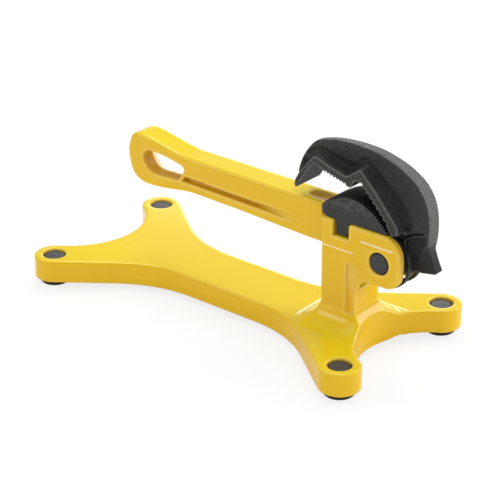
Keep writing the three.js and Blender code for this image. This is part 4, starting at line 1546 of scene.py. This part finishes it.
@dataclass(frozen=True)
class Finish:
    """Finish of a slot: mottled colour, grain, painted shade in hollows, and worn rims with a painted
    highlight.
    """

    light: Triple
    dark: Triple
    rough: Pair
    grain: Pair
    wave: Pair
    # rim is the colour of worn rims, partly wear and partly a painted highlight.
    rim: Triple | None = None
    # hollow is the colour of the painted shade in hollows.
    hollow: Triple | None = None
    metal: float = 0.0
    coat: float = 0.0
    rim_share: float = 0.0
    hollow_share: float = 0.0
    hollow_matt: float = 0.1
    level: float = 0.5
    speck: Pair = (0.55, 0.25)

    def below_dirt(self, g: Graph, colour: Socket) -> Socket:
        """Colour that the painted shade in hollows then lies on."""
        return colour

    def above_dirt(self, g: Graph, colour: Socket, speck: Socket) -> Socket:
        """Colour with what lies on the painted shade in hollows."""
        return colour

    def matt(self, g: Graph) -> Socket:
        """Roughness that hollows add."""
        return g.mark(Mark.HOLLOW) * self.hollow_matt

    def material(self, name: str) -> bpy.types.Material:
        """Builds the material.

        Args:
            name: Name of the material.

        Returns:
            The material.
        """
        made = bpy.data.materials.new(name)
        made.use_nodes = True
        g = Graph(made.node_tree)
        broad = g.noise(22, 4, 0.55).ramp(0.35, 0.65)
        speck = g.noise(self.grain[0] * self.speck[0], 3, 0.7).ramp(0.4, 0.66)
        share = self.speck[1]
        colour = g.mix((broad * (1 - share) + speck * share).clamp(), self.dark, self.light)
        colour = self.below_dirt(g, colour)
        # Painted shade: hollows darken towards the hollow colour.
        if self.hollow_share:
            hollow_shade = (g.mark(Mark.HOLLOW).ramp(0.15, 0.95) * self.hollow_share).clamp()
            colour = g.mix(hollow_shade, colour, self.hollow)
        colour = self.above_dirt(g, colour, speck)
        # Rims lighten towards the rim colour: partly wear, partly a painted highlight.
        if self.rim_share:
            wear_and_highlight = g.mark(Mark.RIM).ramp(0.25, 0.8) * (0.55 + 0.45 * g.noise(260, 3, 0.6))
            colour = g.mix((wear_and_highlight * self.rim_share).clamp(), colour, self.rim)
        low, high = self.rough
        rough = low + (high - low) * (0.6 * broad + 0.4 * speck) + self.matt(g)
        grain, wave = g.noise(self.grain[0], 3, 0.65), g.noise(self.wave[0], 3, 0.5)
        total = self.grain[1] + self.wave[1]
        height = grain * (self.grain[1] / total) + wave * (self.wave[1] / total)
        shader = g.add(
            "ShaderNodeBsdfPrincipled", {}, Base_Color=colour, Roughness=rough, Metallic=self.metal,
            Coat_Weight=self.coat, Coat_Roughness=0.12, Specular_IOR_Level=self.level,
            Normal=g.bump(height, total),
        )
        g.add("ShaderNodeOutputMaterial", {}, shader)
        return made


@dataclass(frozen=True)
class Enamel(Finish):
    """Paint with painted light on upward faces, painted shade in the handle's dip and loop and on the nose,
    and a painted highlight on raised lines.
    """

    # The first colour is painted light on upward faces, the second painted shade, the third a painted
    # highlight on raised lines.
    top: Triple = field(kw_only=True)
    stain: Triple = field(kw_only=True)
    thin: Triple = field(kw_only=True)

    def below_dirt(self, g: Graph, colour: Socket) -> Socket:
        """Adds the painted light on tops, the painted shade and the painted highlight on the raised lines.

        Args:
            g: Graph of the material.
            colour: Colour so far.

        Returns:
            The new colour.
        """
        # Painted light: upward faces turn to the lighter top colour.
        colour = g.mix(g.upward().ramp(0.5, 0.98), colour, self.top)
        # Painted shade where the shade mark lies.
        colour = g.mix(g.mark(Mark.DUSK) * 0.85, colour, self.stain)
        # Painted highlight on the raised lines.
        return g.mix(g.mark(Mark.LINE) * 0.9, colour, self.thin)

    def matt(self, g: Graph) -> Socket:
        """Roughness that hollows and the painted shade add."""
        return super().matt(g) + g.mark(Mark.DUSK) * 0.6


@dataclass(frozen=True)
class Forged(Finish):
    """Forging with painted shade below, at its root and at its beak, and a painted highlight on its back."""

    # Colour of the painted shade.
    soot: Triple = field(kw_only=True)

    def fall(self, g: Graph) -> Socket:
        """How far the surface faces down, from zero to one."""
        return (0 - g.upward()).ramp(0.1, 0.6)

    def above_dirt(self, g: Graph, colour: Socket, speck: Socket) -> Socket:
        """Adds painted shade on faces that look down and at the root and beak, and the painted highlight on
        the back.

        Args:
            g: Graph of the material.
            colour: Colour so far.
            speck: Fine specks.

        Returns:
            The new colour.
        """
        # Painted shade on faces that look down.
        colour = g.mix(self.fall(g), colour, self.soot)
        colour = g.mix(g.mark(Mark.DUSK) * 0.75, colour, self.soot)
        return g.mix(g.mark(Mark.BACK) * (0.35 + 0.35 * speck), colour, self.rim)

    def matt(self, g: Graph) -> Socket:
        """Roughness that hollows and the painted shade add and that the painted back highlight takes away."""
        dull = super().matt(g) + 0.35 * self.fall(g) + 0.25 * g.mark(Mark.DUSK)
        return dull - 0.06 * g.mark(Mark.BACK)


@dataclass(frozen=True)
class Ground(Finish):
    """Steel with clouded, ground sides."""

    cloud: Triple = field(kw_only=True)

    def above_dirt(self, g: Graph, colour: Socket, speck: Socket) -> Socket:
        """Colour with the clouds of the ground sides."""
        return g.mix(g.mark(Mark.GROUND) * g.noise(240, 3, 0.6).ramp(0.3, 0.7) * 0.7, colour, self.cloud)


FINISHES: dict[Slot, Finish] = {
    Slot.PAINT: Enamel(
        # Painted light in this paint: a highlight on rims and raised lines and a lighter colour on upward
        # faces; painted shade in hollows, in the handle's dip and loop, and on the nose.
        (0.82, 0.505, 0.003), (0.80, 0.485, 0.003), (0.15, 0.2), (1500, 0.000006), (70, 0.00005),
        rim=(0.9, 0.66, 0.2), hollow=(0.6, 0.27, 0.002), coat=0.1, rim_share=0.3, hollow_share=0.5,
        level=0.3, top=(0.81, 0.585, 0.012), stain=(0.46, 0.22, 0.006), thin=(0.97, 0.78, 0.42),
    ),
    Slot.FORGING: Forged(
        # Painted light in this forging: a highlight on rims and on the back; painted shade in hollows, on
        # faces that look down, at the root and at the beak.
        (0.052, 0.052, 0.053), (0.014, 0.014, 0.0145), (0.33, 0.46), (620, 0.0022), (160, 0.0003),
        rim=(0.2, 0.2, 0.202), hollow=(0.006, 0.006, 0.006), metal=0.15, rim_share=0.65,
        hollow_share=0.9, speck=(1.0, 0.7), soot=(0.006, 0.006, 0.006),
    ),
    Slot.HEEL: Ground(
        # Painted highlight on rims; painted shade in hollows and across the crown.
        (0.04, 0.04, 0.041), (0.024, 0.024, 0.025), (0.36, 0.5), (700, 0.0004), (200, 0.0002),
        rim=(0.14, 0.14, 0.14), hollow=(0.002, 0.002, 0.002), metal=0.2, rim_share=0.3,
        hollow_share=1.0, hollow_matt=0.4, level=0.3, cloud=(0.1, 0.1, 0.1),
    ),
    Slot.PIN: Finish(
        # Painted shade in the ring of the gap.
        (0.042, 0.042, 0.05), (0.03, 0.03, 0.036), (0.4, 0.52), (1600, 0.0001), (300, 0.0001),
        hollow=(0.003, 0.003, 0.003), metal=0.3, hollow_share=0.95,
    ),
    Slot.SPRING: Finish(
        (0.02, 0.02, 0.021), (0.012, 0.012, 0.013), (0.22, 0.36), (2400, 0.00002), (300, 0.00004),
        metal=0.4,
    ),
    Slot.BRONZE: Finish(
        (0.5, 0.29, 0.12), (0.36, 0.2, 0.08), (0.3, 0.45), (1800, 0.00002), (300, 0.00004), metal=0.9,
    ),
    Slot.ZINC: Finish(
        (0.58, 0.6, 0.62), (0.44, 0.46, 0.48), (0.28, 0.42), (1800, 0.00002), (300, 0.00003), metal=0.9,
    ),
    Slot.PLUG: Finish(
        # Painted shade in the ring of the gap.
        (0.044, 0.044, 0.054), (0.03, 0.03, 0.038), (0.42, 0.55), (1500, 0.0001), (200, 0.0001),
        hollow=(0.003, 0.003, 0.003), hollow_share=0.95,
    ),
    Slot.RUBBER: Finish(
        (0.014, 0.014, 0.015), (0.008, 0.008, 0.009), (0.6, 0.78), (1400, 0.00006), (180, 0.0001),
    ),
}


def finish_all(frame: dict) -> None:
    """Gives every shown piece and node the material of its slot.

    Args:
        frame: The frame as loaded.
    """
    made = {slot: finish.material(slot.value) for slot, finish in FINISHES.items()}
    of_node = {row["node"]: row["material_slot"] for row in frame["record"]["subparts"]}
    for shown in bpy.context.scene.objects:
        slot = shown.get("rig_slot") or of_node.get(shown.name)
        if shown.type == "MESH" and slot:
            shown.data.materials.clear()
            shown.data.materials.append(made[Slot(slot)])


# Studio


@dataclass(frozen=True)
class Lamp:
    """Soft box of the studio, in metres and watts."""

    name: str
    place: Triple
    size: Pair
    power: float
    colour: Triple = (1, 1, 1)
    aim: Triple = (0, 0, 0.06)

    def show(self) -> None:
        """Adds the lamp to the scene."""
        data = bpy.data.lights.new(self.name, "AREA")
        data.shape = "RECTANGLE"
        data.size, data.size_y = self.size
        data.energy = self.power
        data.color = self.colour
        shown = bpy.data.objects.new(self.name, data)
        shown.location = self.place
        way = Vector(self.aim) - Vector(self.place)
        shown.rotation_euler = way.to_track_quat("-Z", "Y").to_euler()
        bpy.context.scene.collection.objects.link(shown)


LAMPS: Sequence[Lamp] = (
    Lamp("key", (-0.75, 1.0, 2.0), (1.3, 1.1), 19.5, (0.93, 1.0, 0.95)),
    Lamp("top", (0.1, -0.2, 1.7), (1.6, 1.6), 10.0, (0.93, 1.0, 0.95)),
    Lamp("sheen", (-1.0, 1.55, 0.5), (0.9, 0.4), 4.5),
    Lamp("front", (-1.15, -1.6, 0.5), (0.9, 0.6), 3.8, (1.0, 0.96, 0.9)),
    Lamp("edge", (-1.2, -1.08, 1.3), (0.45, 0.9), 5.6),
    Lamp("rim", (1.0, 1.5, 1.0), (0.9, 1.3), 20.0),
    Lamp("right", (1.7, -0.35, 0.3), (0.7, 0.4), 5.0, (0.96, 1.0, 0.85)),
)


@dataclass(frozen=True)
class Room:
    """Pale floor and soft light from all round."""

    light: Triple = (1.0, 0.98, 0.96)
    strength: float = 0.38
    reach: float = 6.0
    tones: tuple[Triple, Triple] = ((0.95, 0.95, 0.955), (0.96, 0.96, 0.965))
    glow: float = 0.8
    white: Triple = (1.0, 1.0, 1.0)

    def world(self) -> None:
        """Adds the light from all round, with white behind the object."""
        world = bpy.data.worlds.new("studio")
        bpy.context.scene.world = world
        world.use_nodes = True
        g = Graph(world.node_tree)
        seen = g.add("ShaderNodeLightPath", {}, out="Is Camera Ray")
        room = g.add("ShaderNodeBackground", {}, self.light, self.strength)
        white = g.add("ShaderNodeBackground", {}, self.white, 1.0)
        g.add("ShaderNodeOutputWorld", {}, g.add("ShaderNodeMixShader", {}, seen, room, white))

    def floor(self) -> None:
        """Adds the floor, which keeps the object's shadow."""
        mesh = bpy.data.meshes.new("floor")
        sides = ((-1, -1), (1, -1), (1, 1), (-1, 1))
        mesh.from_pydata([(x * self.reach, y * self.reach, 0) for x, y in sides], [], [(0, 1, 2, 3)])
        shown = bpy.data.objects.new("floor", mesh)
        bpy.context.scene.collection.objects.link(shown)
        made = bpy.data.materials.new("floor")
        made.use_nodes = True
        g = Graph(made.node_tree)
        tone = g.mix(g.noise(3, 2), *self.tones)
        shader = g.add("ShaderNodeBsdfPrincipled", {}, Base_Color=tone, Roughness=0.9, Specular_IOR_Level=0.1)
        white = g.add("ShaderNodeEmission", {}, self.white, 1.0)
        seen = g.add("ShaderNodeLightPath", {}, out="Is Camera Ray")
        mixed = g.add("ShaderNodeMixShader", {}, seen * self.glow, shader, white)
        g.add("ShaderNodeOutputMaterial", {}, mixed)
        mesh.materials.append(made)


@dataclass(frozen=True)
class View:
    """Camera of the photograph: degrees, pixels, and millimetres from the stand's own origin."""

    azimuth: float = 39.795
    elevation: float = 25.4412
    focal: float = 1878.12
    width: float = 500
    sensor: float = 36
    distance: float = 1531.62
    across: float = -5.94
    up: float = -21.99

    def show(self, shift: np.ndarray) -> None:
        """Places the camera.

        Args:
            shift: From the stand's own origin to the frame's, in millimetres.
        """
        az, el = math.radians(self.azimuth), math.radians(self.elevation)
        back = Vector((math.sin(az) * math.cos(el), -math.cos(az) * math.cos(el), math.sin(el)))
        right = Vector((math.cos(az), math.sin(az), 0))
        up = back.cross(right)
        place = back * self.distance - right * self.across - up * self.up + Vector(shift)
        data = bpy.data.cameras.new("camera")
        data.sensor_width = self.sensor
        data.lens = self.focal / self.width * self.sensor
        data.clip_start, data.clip_end = 0.05, 50
        shown = bpy.data.objects.new("camera", data)
        turn = Matrix((right, up, back)).transposed().to_4x4()
        shown.matrix_world = Matrix.Translation(place * MM) @ turn
        bpy.context.scene.collection.objects.link(shown)
        bpy.context.scene.camera = shown


def main() -> None:
    """Builds the looks round the frame."""
    logging.basicConfig(level=logging.INFO)
    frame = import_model()
    plate, head = Plate(), Head()
    bench = Bench(frame, head.pin)
    casting = Casting(plate, head, Handle())
    pieces: Sequence[Assembly] = (casting, Hook(), Heel(head=head), Springs(head), Pin(head), Feet(plate))
    for piece in pieces:
        piece.show(bench)
    finish_all(frame)
    bpy.context.scene.view_settings.view_transform = "Standard"
    for lamp in LAMPS:
        lamp.show()
    room = Room()
    room.world()
    room.floor()
    View().show(bench.shift)


if __name__ == "__main__":
    main()
